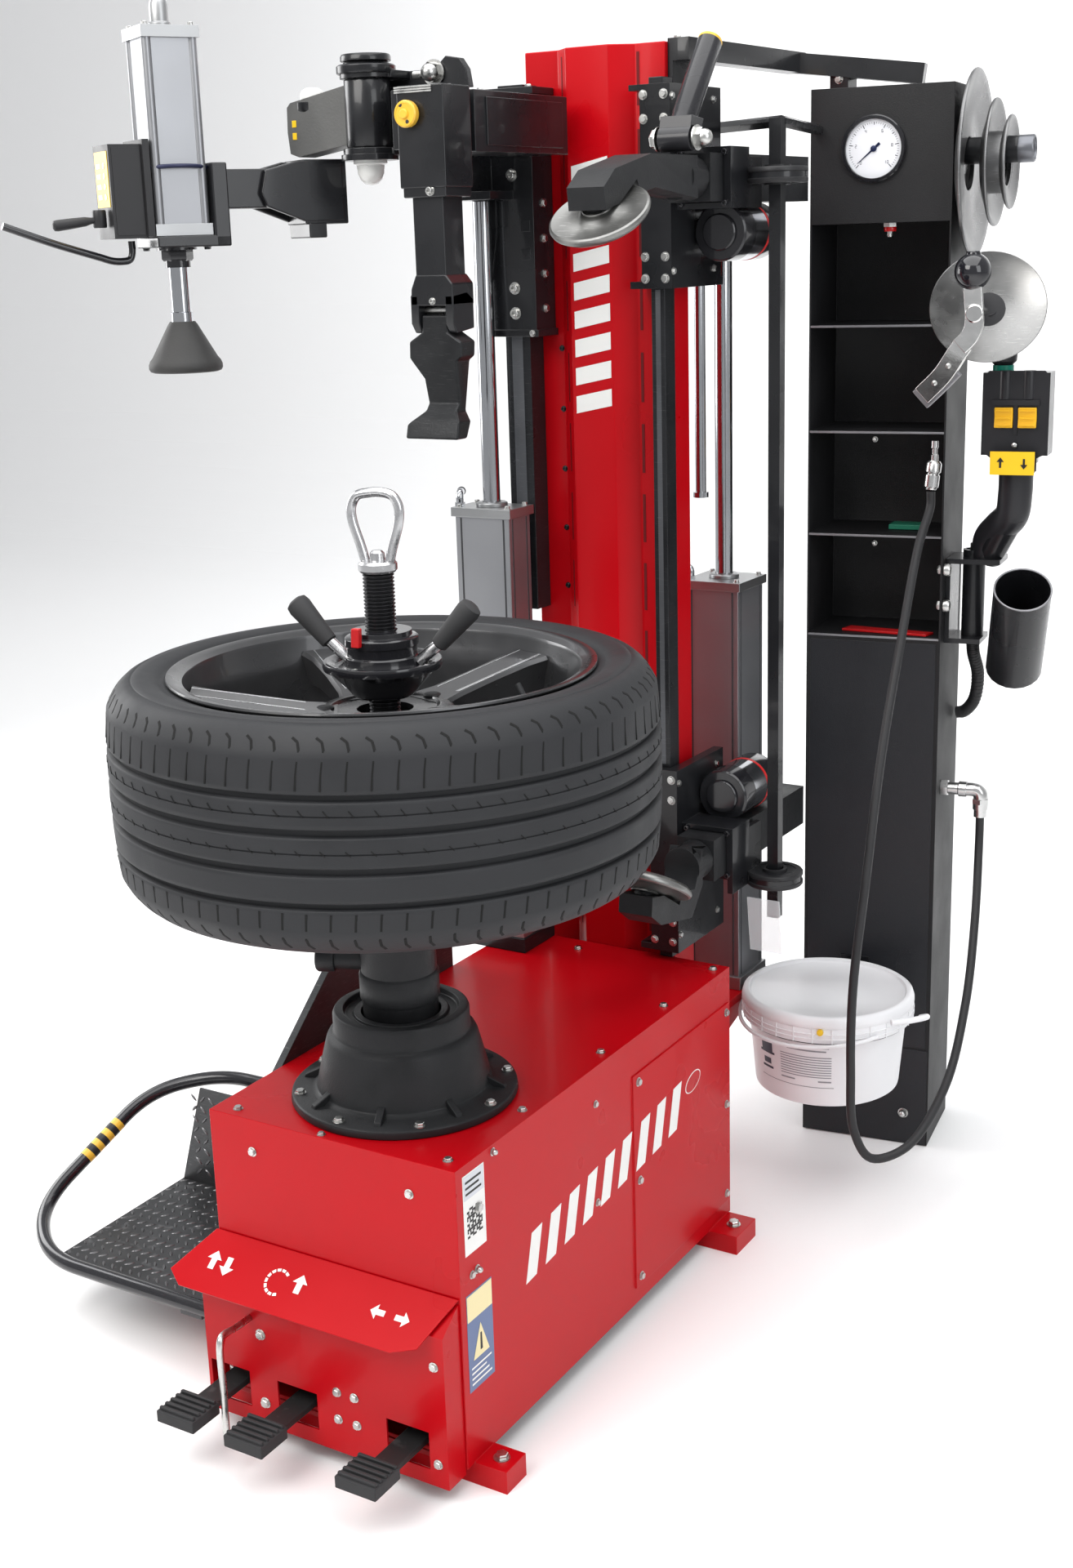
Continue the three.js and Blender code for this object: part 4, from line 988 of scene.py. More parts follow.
# ---- lifting cylinders ------------------------------------------------------------------
# Two air cylinders in extruded aluminium with square end caps on four tie bolts,
# grooved for switches, with chromed rods and black push-in elbows.
alloy = finish("cylinder_alloy", (0.26, 0.265, 0.28), (0.34, 0.345, 0.36), (0.30, 0.42), 0.8,
               patch=5, brushed=(1400, 1400, 6))
cap_alloy = finish("cap_alloy", (0.30, 0.305, 0.31), (0.42, 0.425, 0.43), (0.28, 0.42), 0.9,
                   grain=700, relief=0.12)
# Near-black used for the cylinders' switch grooves and the stop knob's two recesses: painted shade
# inside those recesses.
painted_recess_shade = finish("painted_recess_shade", (0.03, 0.03, 0.033), (0.06, 0.06, 0.065), (0.5, 0.7), 0.3)
chrome = finish("chromed_rod", (0.40, 0.41, 0.43), (0.52, 0.53, 0.55), (0.10, 0.18), 1.0,
                relief=0.01)


def lifting_cylinder(name, node, x0, x1, y0, y1, z0, z1):
    bm = bmesh.new()
    add_block(bm, x0 + 5, x1 - 5, y0 + 5, y1 - 5, z0 + 20, z1 - 13, 0)
    add_block(bm, x0, x1, y0, y1, z0, z0 + 22, 1)
    add_block(bm, x0, x1, y0, y1, z1 - 14, z1, 1)
    cx, cy = (x0 + x1) / 2, (y0 + y1) / 2
    add_turning(bm, [[14.6, 0], [24, 0], [24, 5], [21, 7], [14.6, 7]], at(cx, cy, z1), UP, 40, 1)
    # The dark strips along the faces are painted shade for the switch grooves.
    for x in (x0 + 15, x1 - 15):
        add_block(bm, x - 1.6, x + 1.6, y0 + 4.4, y0 + 6, z0 + 24, z1 - 16, 2)
        add_block(bm, x - 1.6, x + 1.6, y1 - 6, y1 - 4.4, z0 + 24, z1 - 16, 2)
    for y in (y0 + 15, y1 - 15):
        add_block(bm, x1 - 6, x1 - 4.4, y - 1.6, y + 1.6, z0 + 24, z1 - 16, 2)
        add_block(bm, x0 + 4.4, x0 + 6, y - 1.6, y + 1.6, z0 + 24, z1 - 16, 2)
    piece(name, bm, [alloy, cap_alloy, painted_recess_shade], "machine", [node], 2.2, 3)
    corners = [(at(x, y, z1), UP, 5) for x in (x0 + 10, x1 - 10) for y in (y0 + 10, y1 - 10)]
    bolts(name + "_bolts", "machine", corners, None, "socket")


lifting_cylinder("left_cylinder", "cylinder_left", -233, -127, 515, 585, 478, 1160)
lifting_cylinder("right_cylinder", "cylinder_right", 16, 118, 797, 899, 332.3, 1018)
bm = bmesh.new()
add_block(bm, -236, -124, 512, 606, 454.3, 478)
add_block(bm, -210, -150, 584, 631, 454.3, 560)
piece("left_cylinder_foot", bm, [rail_black], "machine", rounding=1.2)


def add_elbow(bm, foot, way, turn, r, paint_metal, paint_ring):
    """A push-in air elbow: hexagon foot, body and release ring."""
    foot, way, turn = Vector(foot), Vector(way).normalized(), Vector(turn).normalized()
    add_drum(bm, r * 1.1, 0, r * 0.9, foot, way, 6,
                paint_metal)
    middle = foot + way * r * 0.0022
    add_pipe(bm, spline_points([foot + way * r * 0.0008, middle, middle + way * r * 0.0006
                                + turn * r * 0.0006, middle + way * r * 0.0008
                                + turn * r * 0.0022], 4), r * 0.00085, 16, paint_metal)
    add_drum(bm, r * 0.95, 0, r * 0.5,
                middle + way * r * 0.0008 + turn * r * 0.0022, turn, 20, paint_ring)


black_plastic = finish("black_plastic", (0.012, 0.012, 0.013), (0.026, 0.026, 0.028),
                       (0.34, 0.5), patch=20, relief=0.12)
bm = bmesh.new()
add_elbow(bm, at(-225, 530, 1160), UP, (-0.4, 0.9, 0), 7, 0, 1)
add_elbow(bm, at(28, 806, 1018), UP, (-1, 0.2, 0), 7, 0, 1)
piece("air_elbows", bm, [chrome, black_plastic], "machine")

# ---- left carriage and tool head ----------------------------------------------------------
# The carriage that slides on the left rail: a welded black box with adjusting
# bolts, a beam to the tool head and the two plates of the press link's hub.
powder = finish("black_powder", (0.006, 0.0063, 0.0072), (0.015, 0.0155, 0.018), (0.22, 0.36),
                0.1, coat=0.3, grain=520, patch=9, relief=0.14, depth=0.0004)
carry("left_carriage", powder, "tool_carriage", 1.6)
bm = bmesh.new()
add_drum(bm, 13.2, 1126, 1604, at(-180, 550, 0), UP, 48)
piece("left_rod_chrome", bm, [chrome], "tool_carriage")
bolts("carriage_nuts", "tool_carriage",
      [(at(-141, 574, z), FRONT, 8) for z in (1676, 1640, 1480, 1444)], zinc, "socket")
bolts("carriage_side_bolts", "tool_carriage",
      [(at(-106, 602, z), RIGHT, 6) for z in (1725, 1690, 1600, 1550, 1500, 1450)]
      + [(at(x, 590, 1760), UP, 6) for x in (-200, -118)]
      + [(at(x, 572, 1415), FRONT, 4.5) for x in (-186, -112)], zinc, "hex")
bm = bmesh.new()
add_slab(bm, [at(-190, 573.4, 1612), at(-166, 573.4, 1612), at(-166, 573.4, 1560),
              at(-176, 573.4, 1500), at(-190, 573.4, 1480)], (0, -0.006, 0))
for z in (1700, 1660, 1560, 1520):
    add_block(bm, -128, -112, 573.2, 574.4, z, z + 16)
add_turning(bm, [[0, 0], [34, 0], [34, 6], [32, 9], [12, 10], [0, 10]], at(-195, 300, 1784), UP, 56)
add_turning(bm, [[31.5, 0], [39, 0], [40, 2], [40, 10], [37, 12], [31.5, 12]],
            at(-195, 300, 1768), UP, 56)
add_drum(bm, 39, 0, 8, at(-195, 300, 1658), UP, 56)
piece("carriage_trim", bm, [powder], "tool_carriage", rounding=0.8)
white_dome = finish("white_dome", (0.62, 0.62, 0.60), (0.80, 0.80, 0.78), (0.18, 0.3), 0.0,
                   coat=0.4, grain=500)
bm = bmesh.new()
add_turning(bm, [[0, 0], [23, 0], [23, -4], [19, -6], [18, -16], [15, -24], [9, -30], [0, -32]],
            at(-195, 300, 1658), UP, 40)
add_drum(bm, 8, 4, 9, at(-195, 300, 1786), UP, 28)
piece("hub_caps", bm, [white_dome], "tool_carriage")
bm = bmesh.new()
add_pipe(bm, [at(-108, 352, 1748), at(-108, 352, 1774)], 0.011, 24)
add_pipe(bm, [at(-150, 348, 1766), at(-96, 348, 1766)], 0.006, 20)
add_screwhead(bm, at(-106, 330, 1766), FRONT, 15, 0, "dome")
add_screwhead(bm, at(-84, 331, 1740), FRONT, 10, 0, "hex")
piece("tilt_pivot_bolts", bm, [zinc], "tool_carriage")
bm = bmesh.new()
add_slab(bm, [at(-100, 331, 1745), at(-100, 331, 1776), at(-88, 331, 1786), at(-66, 331, 1782),
              at(-56, 331, 1768), at(-52, 331, 1745)], (0, 0.012, 0))
add_block(bm, -52, -44, 360, 560, 1672, 1734)
piece("beam_plates", bm, [powder], "tool_carriage", rounding=1.2)

# The tool head: a square bar in a sleeve with a forked foot, and the cast hook.
cast_grey = finish("hook_casting", (0.011, 0.0115, 0.0125), (0.03, 0.031, 0.033), (0.32, 0.52),
                   0.5, grain=330, patch=14, relief=0.3, depth=0.0007, scratch=0.25)
bm = bmesh.new()
X, Y = -74, 278
add_block(bm, X - 36, X + 36, Y - 33, Y + 33, 1618, 1745)
add_block(bm, X - 33, X + 34, Y - 31, Y + 31, 1606, 1620)
add_block(bm, X - 24, X + 24, Y - 24, Y + 24, 1500, 1610)
add_slab(bm, [at(X - 24, Y - 25, 1508), at(X + 24, Y - 25, 1508), at(X + 34, Y - 25, 1496),
              at(X + 34, Y - 25, 1468), at(X - 34, Y - 25, 1468), at(X - 32, Y - 25, 1490)],
         (0, 0.052, 0))
for side in (-1, 1):
    add_slab(bm, [at(X + side * 34, Y - 25, 1482), at(X + side * 34, Y + 10, 1486),
                  at(X + side * 34, Y + 26, 1476), at(X + side * 34, Y + 26, 1437),
                  at(X + side * 34, Y - 16, 1432), at(X + side * 34, Y - 25, 1445)],
             (-side * 0.013, 0, 0))
piece("tool_head_body", bm, [powder], "tool_head", ["tool_sleeve"], 2.0, 3)
bm = bmesh.new()
for z in (1738, 1741, 1744):
    add_block(bm, X - 38, X + 20, Y - 35, Y - 32, z - 2, z)
add_screwhead(bm, at(X + 10, Y - 31, 1614), FRONT, 6, 0, "socket")
add_pipe(bm, [at(X - 33, Y - 4, 1462), at(X + 33, Y - 4, 1462)], 0.006, 20)
add_screwhead(bm, at(X + 2, Y - 25, 1474), FRONT, 4.5, 0, "socket")
piece("tool_head_bolts", bm, [zinc], "tool_head")
carry("tool_hook", cast_grey, "tool_head", 3.0, 3)
knob_yellow = finish("knob_yellow", (0.72, 0.40, 0.035), (0.82, 0.50, 0.06), (0.28, 0.4),
                     coat=0.2, grain=600)
bm = bmesh.new()
add_turning(bm, [[0, 0], [15, 0], [16.6, 2], [17, 4], [17, 10], [15.4, 12], [13.5, 12.2],
                 [13, 11.4], [6.5, 11.2], [6, 14.2], [5, 15], [0, 15]],
            at(-90, 244.6, 1710), FRONT, 48, 0)
# Two dark dots on the knob's face: painted shade for two small recesses.
for x, z in ((-96, 1721), (-86, 1700)):
    add_drum(bm, 2.6, 0, 0.5, at(x, 233.4, z), FRONT, 16, 1)
piece("tool_stop_knob", bm, [knob_yellow, painted_recess_shade], "tool_stop", ["tool_knob"])

# ---- swinging bead press -----------------------------------------------------------------
# A cast link swings at the carriage's hub and carries a square tube arm, which
# holds an air cylinder upright: rod and rubber cone below, control box beside it.
link_grey = finish("link_casting", (0.10, 0.10, 0.098), (0.17, 0.17, 0.165), (0.4, 0.55), 0.5,
                   grain=300, patch=12, relief=0.35, depth=0.0008)
bm = bmesh.new()
add_turning(bm, [[0, 1674.6], [30, 1674.6], [31, 1676], [31, 1760], [30, 1761.4], [0, 1761.4]],
            at(-195, 300, 0), UP, 64, 1)
face = [at(-210, 284, 1757), at(-210, 284, 1681), at(-304, 284, 1667), at(-318, 284, 1672),
        at(-321, 284, 1700), at(-320, 284, 1732), at(-314, 284, 1738)]
add_slab(bm, face, (0, 0.038, 0), 0)
add_turning(bm, [[0, 1725], [22, 1725], [24, 1728], [24, 1738], [0, 1741]], at(-292, 306, 0), UP,
            40, 1)
for z in (1690, 1706):
    add_block(bm, -312, -305, 283.2, 284.1, z, z + 9, 2)
piece("press_link_casting", bm, [link_grey, powder, label_yellow], "press_link",
      ["swing_link"], 2.5, 3)
bm = bmesh.new()
add_turning(bm, [[0, 1740], [17, 1740], [17.5, 1742], [17, 1748], [15, 1753], [9, 1757],
                 [0, 1758]], at(-292, 306, 0), UP, 36)
piece("press_link_cap", bm, [white_dome], "press_link")

REACH = 209


def arm_at(x, y, z):
    turn = math.radians(-120)
    return at(-292 + x * math.cos(turn) - y * math.sin(turn),
              306 + x * math.sin(turn) + y * math.cos(turn), z)


ARM_ALONG = (arm_at(1, 0, 0) - arm_at(0, 0, 0)).normalized()
ARM_ACROSS = (arm_at(0, 1, 0) - arm_at(0, 0, 0)).normalized()
bm = bmesh.new()
outline = [(-30, -34), (34, -34), (34, 34), (-30, 34)]
add_slab(bm, [arm_at(x, y, 1578) for x, y in outline], (0, 0, 0.085))
for side in (-1, 1):
    y = side * 35
    outline = [(-24, 1582), (34, 1582), (88, 1602), (96, 1620), (88, 1650), (40, 1662),
               (-24, 1662)]
    near = [arm_at(x, y, z) for x, z in outline]
    add_slab(bm, near, ARM_ACROSS * (-side * 0.009))
add_block(bm, 20, REACH - 44, -25, 25, 1601, 1652, 0, arm_at)
add_block(bm, REACH - 62, REACH - 40.3, -46, 46, 1553, 1660, 0, arm_at)
add_block(bm, REACH - 62, REACH + 40.3, -46, 46, 1553, 1567.5, 0, arm_at)
add_block(bm, 4, 30, -36.5, 36.5, 1560, 1580, 0, arm_at)
piece("press_arm_steel", bm, [powder], "press_arm", ["swing_arm"], 2.2, 3)
bm = bmesh.new()
for x, z in ((8, 1624), (56, 1626)):
    add_turning(bm, [[0, 0], [9, 0], [9, 1], [6, 2], [0, 2]], arm_at(x, -35.4, z), -ARM_ACROSS, 24)
add_screwhead(bm, arm_at(REACH, 0, 1553), (0, 0, -1), 24, 0, "hex")
add_drum(bm, 17, 0, -26, arm_at(REACH, 0, 1553), UP, 32)
for x in (-30, 30):
    for y in (-38, 38):
        add_screwhead(bm, arm_at(REACH + x, y, 1553), (0, 0, -1), 5, 0, "hex")
piece("press_arm_nuts", bm, [black_gloss], "press_arm")
bm = bmesh.new()
add_block(bm, REACH - 34.5, REACH + 34.5, -34.5, 34.5, 1580, 1818, 0, arm_at)
add_block(bm, REACH - 39.5, REACH + 39.5, -39.5, 39.5, 1568, 1583, 1, arm_at)
add_block(bm, REACH - 39.5, REACH + 39.5, -39.5, 39.5, 1815, 1830, 1, arm_at)
for x, y in ((-31, -31), (31, -31), (31, 31), (-31, 31)):
    add_drum(bm, 6.5, 1582, 1816, arm_at(REACH + x, y, 0),
                UP, 28, 0)
# Dark strips on two faces: painted shade for the switch grooves.
for t in (-14, 14):
    add_block(bm, REACH + t - 1.4, REACH + t + 1.4, -34.9, -34.3, 1586, 1812, 2, arm_at)
    add_block(bm, REACH - 34.9, REACH - 34.3, t - 1.4, t + 1.4, 1586, 1812, 2, arm_at)
add_turning(bm, [[0, 1829], [15, 1829], [15, 1835], [12.5, 1837], [12.5, 1858], [10, 1864],
                 [0, 1864]], arm_at(REACH, 0, 0), UP, 40, 1)
piece("press_cylinder_body", bm, [alloy, cap_alloy, painted_recess_shade], "press_arm",
      ["press_cylinder"], 1.6, 3)
corners = [(arm_at(REACH + x, y, 1830), UP, 5) for x in (-31, 31) for y in (-31, 31)]
bolts("press_cap_bolts", "press_arm", corners, zinc, "socket")
hoop_wire = finish("hoop_wire", (0.02, 0.022, 0.05), (0.03, 0.035, 0.08), (0.3, 0.4), 0.3)
hoop = []
for k in range(33):
    a = 2 * math.pi * k / 32
    hoop.append(arm_at(REACH + 48 * math.cos(a) * (1 + 0.12 * math.cos(2 * a) ** 2),
                       46 * math.sin(a), 1652 + 4 * math.sin(a)))
bm = bmesh.new()
add_pipe(bm, hoop[:-1] + [hoop[0]], 0.0028, 10, caps=False)
piece("press_hoop", bm, [hoop_wire], "press_arm")
bm = bmesh.new()
add_block(bm, REACH + 41, REACH + 50, -40, 40, 1568, 1690, 0, arm_at)
add_block(bm, REACH + 48, REACH + 94, -33, 33, 1566, 1684, 0, arm_at)
add_block(bm, REACH + 52, REACH + 90, -34, 34, 1570, 1680, 0, arm_at)
add_block(bm, REACH + 94, REACH + 94.8, -27, 27, 1606, 1676, 1, arm_at)
for k in range(4):
    add_block(bm, REACH + 94.8, REACH + 95.2, -20, -4, 1616 + 13 * k, 1622 + 13 * k, 2, arm_at)
    add_drum(bm, 4, 0, 0.6, arm_at(REACH + 94.9, 12, 1619 + 13 * k),
                ARM_ALONG, 16, 2)
piece("press_control_box", bm, [black_plastic, label_yellow, white_ink], "press_arm",
      ["press_control"], 2.0, 3)
bm = bmesh.new()
add_turning(bm, [[0, 1580.5], [8, 1580.5], [9, 1582], [9, 1601], [8, 1603], [0, 1603]],
            arm_at(REACH + 105, 8, 0), UP, 28)
a, b = arm_at(REACH + 106, 8, 1591), arm_at(REACH + 168, 8, 1584)
add_pipe(bm, [a + (b - a) * t for t in (0, 0.15, 0.3, 0.6, 0.9, 0.97, 1.0)],
         [0.004, 0.004, 0.006, 0.0068, 0.0072, 0.0064, 0.003], 20)
piece("press_valve_lever", bm, [black_plastic], "press_valve", ["press_lever"])
guard_knots = [arm_at(REACH + 56, -20, 1563), arm_at(REACH + 56, -20, 1548),
               arm_at(REACH + 60, -20, 1539), arm_at(REACH + 70, -20, 1537),
               arm_at(REACH + 84, -20, 1538), arm_at(REACH + 100, -20, 1543),
               arm_at(REACH + 160, -20, 1562), arm_at(REACH + 226, -20, 1586)]
bm = bmesh.new()
add_pipe(bm, spline_points(guard_knots, 6), 0.005, 16)
piece("press_guard_rod", bm, [black_gloss], "press_arm")
bm = bmesh.new()
add_turning(bm, [[0, 1440.4], [12.4, 1440.4], [13, 1441], [13, 1452], [14.6, 1453], [14.6, 1468],
                 [13, 1469], [13, 1699], [0, 1699]], arm_at(REACH, 0, 0), UP, 48)
add_drum(bm, 29, 1690, 1705, arm_at(REACH, 0, 0), UP, 40)
piece("press_rod_chrome", bm, [chrome], "press_foot", ["press_rod"])
cone_rubber = finish("cone_rubber", (0.022, 0.022, 0.022), (0.055, 0.054, 0.053), (0.5, 0.7),
                     grain=300, patch=25, relief=0.3, depth=0.0006)
bm = bmesh.new()
add_turning(bm, [[0, 1389], [44, 1389], [48, 1390.5], [50, 1394], [50, 1399], [48, 1404],
                 [44, 1409], [20, 1452], [17, 1456], [13.4, 1456], [13.4, 1440.2], [0, 1440.2]],
            arm_at(REACH, 0, 0), UP, 64)
piece("press_cone_rubber", bm, [cone_rubber], "press_foot", ["press_cone"])

# ---- right carriages and bead discs ---------------------------------------------------
# Two carriages on the right rail each push a square arm with a free turning
# satin disc under a cast hood; small air motors with a bright band drive them.
carry("upper_carriage", powder, "disc_carriage_upper", 1.4)
carry("lower_carriage", powder, "disc_carriage_lower", 1.4)
carry("upper_arm", black_cast, "disc_arm_upper", 3.0, 3)
carry("lower_arm", black_cast, "disc_arm_lower", 3.0, 3)
disc_grey = finish("disc_satin", (0.17, 0.17, 0.165), (0.28, 0.28, 0.27), (0.3, 0.42), 0.85,
                   grain=400, patch=30, relief=0.12, scratch=0.5)
TILT = math.radians(32)


def bead_disc(name, body, node, y, z, up):
    axis = Vector((0, -math.sin(TILT), math.cos(TILT) * up))
    centre = at(156, y, z)
    bm = bmesh.new()
    add_turning(bm, [[0, -6], [30, -6.5], [50, -8], [60, -6], [66, -1], [67.5, 3], [66.5, 6.5],
                     [64, 8], [56, 6.6], [46, 6], [36, 7], [28, 10.5], [24, 12], [14, 12.4],
                     [0, 12.4]], centre, axis, 96)
    add_turning(bm, [[0, 12], [20, 12], [21, 13.5], [20, 15], [0, 15]], centre, axis, 48)
    piece(name, bm, [disc_grey], body, [node])


bead_disc("upper_disc_plate", "disc_upper", "upper_disc", 306, 1574, 1)
bead_disc("lower_disc_plate", "disc_lower", "lower_disc", 404, 648, -1)
stripe_red = finish("stripe_red", (0.45, 0.01, 0.01), (0.55, 0.015, 0.015), (0.3, 0.4))


def air_motor(name, body, z):
    """The small brake cylinder behind the arm: black cap, bright band, red line."""
    bm = bmesh.new()
    centre = at(156, 0, z)
    add_turning(bm, [[0, 648], [24, 648], [26, 650], [26, 654], [0, 654]], centre, BACK, 40, 0)
    add_turning(bm, [[0, 653], [38, 653], [40.6, 656], [41, 664], [41, 690], [0, 690]], centre,
                BACK, 56, 0)
    add_drum(bm, 40.5, 690, 732, centre, BACK, 56, 1)
    add_drum(bm, 41, 732, 738, centre, BACK, 56, 2)
    add_turning(bm, [[0, 738], [41, 738], [41, 770], [38, 776], [0, 776]], centre, BACK, 56, 0)
    piece(name, bm, [black_gloss, chrome, stripe_red], body, rounding=0.6)


air_motor("upper_air_motor", "disc_carriage_upper", 1551)
air_motor("lower_air_motor", "disc_carriage_lower", 713)
bolts("upper_plate_bolts", "disc_carriage_upper",
      [(at(x, 584, z), FRONT, 6) for x in (72, 104) for z in (1738, 1706, 1520, 1490)]
      + [(at(113.5, y, z), RIGHT, 5) for y in (590, 720) for z in (1735, 1500)])
bolts("lower_plate_bolts", "disc_carriage_lower",
      [(at(x, 584, z), FRONT, 6) for x in (72, 104) for z in (750, 718, 520, 488)]
      + [(at(113.5, y, z), RIGHT, 5) for y in (590, 720) for z in (745, 500)])
bolts("guide_bolts_upper", "disc_carriage_upper",
      [(at(x, 600, z), FRONT, 5) for x in (122, 190) for z in (1590, 1658)], black_gloss,
      "socket")
bolts("guide_bolts_lower", "disc_carriage_lower",
      [(at(x, 600, z), FRONT, 5) for x in (122, 190) for z in (605, 673)], black_gloss,
      "socket")


def pulley(name, body, z):
    """A ribbed black rim and its hub, turned about the balance bar; the wheel's five webs are not
    drawn.
    """
    bm = bmesh.new()
    centre = at(232, 682, 0)
    add_turning(bm, [[33, z - 1], [42, z - 1], [43.5, z + 1], [43.5, z + 5], [41, z + 7],
                     [41, z + 13], [43.5, z + 15], [43.5, z + 19], [42, z + 21], [33, z + 21],
                     [33, z - 1]], centre, UP, 64)
    add_turning(bm, [[13.8, z - 3], [19, z - 3], [19, z + 24], [13.8, z + 24], [13.8, z - 3]],
                centre, UP, 40)
    piece(name, bm, [black_plastic], body)


pulley("upper_pulley", "disc_carriage_upper", 1616)
pulley("lower_pulley", "disc_carriage_lower", 576)
bm = bmesh.new()
add_drum(bm, 8.3, 1166, 1478, at(80, 740, 0), UP, 32)
add_drum(bm, 12, 1160, 1168, at(80, 740, 0), UP, 32)
add_drum(bm, 14.1, 997, 1573, at(67, 848, 0), UP, 48)
piece("right_rod_chrome", bm, [chrome], "disc_carriage_upper")
grip_black = finish("handle_grip", (0.012, 0.012, 0.014), (0.028, 0.028, 0.032), (0.22, 0.36),
                    coat=0.2, grain=600, relief=0.12)
bm = bmesh.new()
add_drum(bm, 17, 0, 48, at(132, 525, 1674.5), RIGHT, 36, 0)
add_slab(bm, [at(132, 512, 1674), at(132, 541, 1674), at(132, 556, 1700), at(132, 520, 1704)],
         (0.048, 0, 0), 0)
a, b = at(156, 534, 1690), at(156, 626, 1806)
add_pipe(bm, [a + (b - a) * t for t in (0, 0.1, 0.12, 0.5, 0.96, 0.99)],
         [0.0165, 0.0165, 0.0175, 0.0175, 0.0175, 0.0165], 36, 0)
add_turning(bm, [[0, -4], [17.3, -4], [17.3, 0], [14.5, 2.4], [9, 2.8], [8, 1.2], [0, 1.2]],
            b, b - a, 36, 1)
piece("disc_lever_grip", bm, [grip_black, knob_yellow, painted_recess_shade], "disc_lever",
      ["disc_handle"], 0.8, 2)
bm = bmesh.new()
add_screwhead(bm, at(128, 525, 1674.5), LEFT, 15, 0, "hex")
add_screwhead(bm, at(184, 525, 1674.5), RIGHT, 15, 0, "dome")
piece("disc_lever_pin", bm, [zinc], "disc_lever")

# ---- top brace and balance bar ---------------------------------------------------------
# A square tube ties the column's head to the cabinet, and a square bar hung
# beside it keeps the two disc carriages in line.
carry("top_brace", powder, "machine", 2.0, 3)
carry("sync_bar", powder, "machine", 1.2)
bolts("brace_bolts", "machine",
      [(at(90.4, 655 + 30 * k, 1815), UP, 6) for k in (0, 1)]
      + [(at(185, 1015, 1772), FRONT, 6)])
lexan = bpy.data.materials.new("clear_sheet")
lexan.use_nodes = True
clear = lexan.node_tree.nodes["Principled BSDF"]
clear.inputs["Base Color"].default_value = (0.86, 0.90, 0.92, 1.0)
clear.inputs["Roughness"].default_value = 0.08
clear.inputs["Alpha"].default_value = 0.35
bm = bmesh.new()
add_slab(bm, [at(204, 640, 560), at(258, 640, 560), at(258, 652, 470), at(204, 652, 470)],
         (0, 0.003, 0))
piece("bar_guard_sheet", bm, [lexan], "machine", rounding=0.4)

# ---- wheel lift ---------------------------------------------------------------------------
# A bent tube frame hinged on the chassis, with a chequer plate platform that a
# wheel is rolled onto, a back plate, and hazard tape on the front bend.
lift_gloss = finish("lift_gloss", (0.010, 0.010, 0.012), (0.02, 0.02, 0.024), (0.16, 0.3), 0.15,
                    coat=0.5, grain=500, patch=8, relief=0.06, scratch=0.2)
plate_dark = finish("chequer_plate", (0.03, 0.031, 0.033), (0.075, 0.077, 0.08), (0.28, 0.45),
                    0.6, grain=500, patch=18, relief=0.2, scratch=0.5)
corners = [(-214, 262, 262), (-560, 262, 256), (-652, 190, 236), (-700, -20, 118),
           (-600, -112, 100), (-216, -112, 100)]


def rounded_line(points, bend, steps):
    points = [Vector(p) for p in points]
    line = [points[0]]
    for a, b, c in zip(points, points[1:], points[2:]):
        back, on = a - b, c - b
        reach = min(bend, back.length / 2.1, on.length / 2.1)
        start, stop = b + back.normalized() * reach, b + on.normalized() * reach
        for k in range(steps + 1):
            t = k / steps
            line.append(start * (1 - t) ** 2 + b * 2 * t * (1 - t) + stop * t * t)
    line.append(points[-1])
    return line


lift_line = [at(*p) for p in rounded_line(corners, 70, 12)]
bm = bmesh.new()
add_pipe(bm, lift_line, 0.011, 24, 0)
add_turning(bm, [[0, 0], [12, 0], [13, 1.5], [13, 34.5], [12, 36], [0, 36]],
            at(-214, 244, 262), BACK, 36, 0)
add_block(bm, -330, -290, -120, -98, 86, 106, 0)
add_block(bm, -440, -420, 194, 262, 250, 262, 0)
add_slab(bm, [at(-598, -100, 88), at(-300, -100, 88), at(-300, 196, 88), at(-598, 196, 88)],
         (0, 0, 0.004), 1)
add_slab(bm, [at(-598, 194, 88), at(-300, 194, 88), at(-300, 194, 130), at(-420, 194, 262),
              at(-546, 194, 262)], (0, 0.004, 0), 1)
piece("lift_frame", bm, [lift_gloss, plate_dark], "lift_arm", ["wheel_lift"], 0.8, 2)


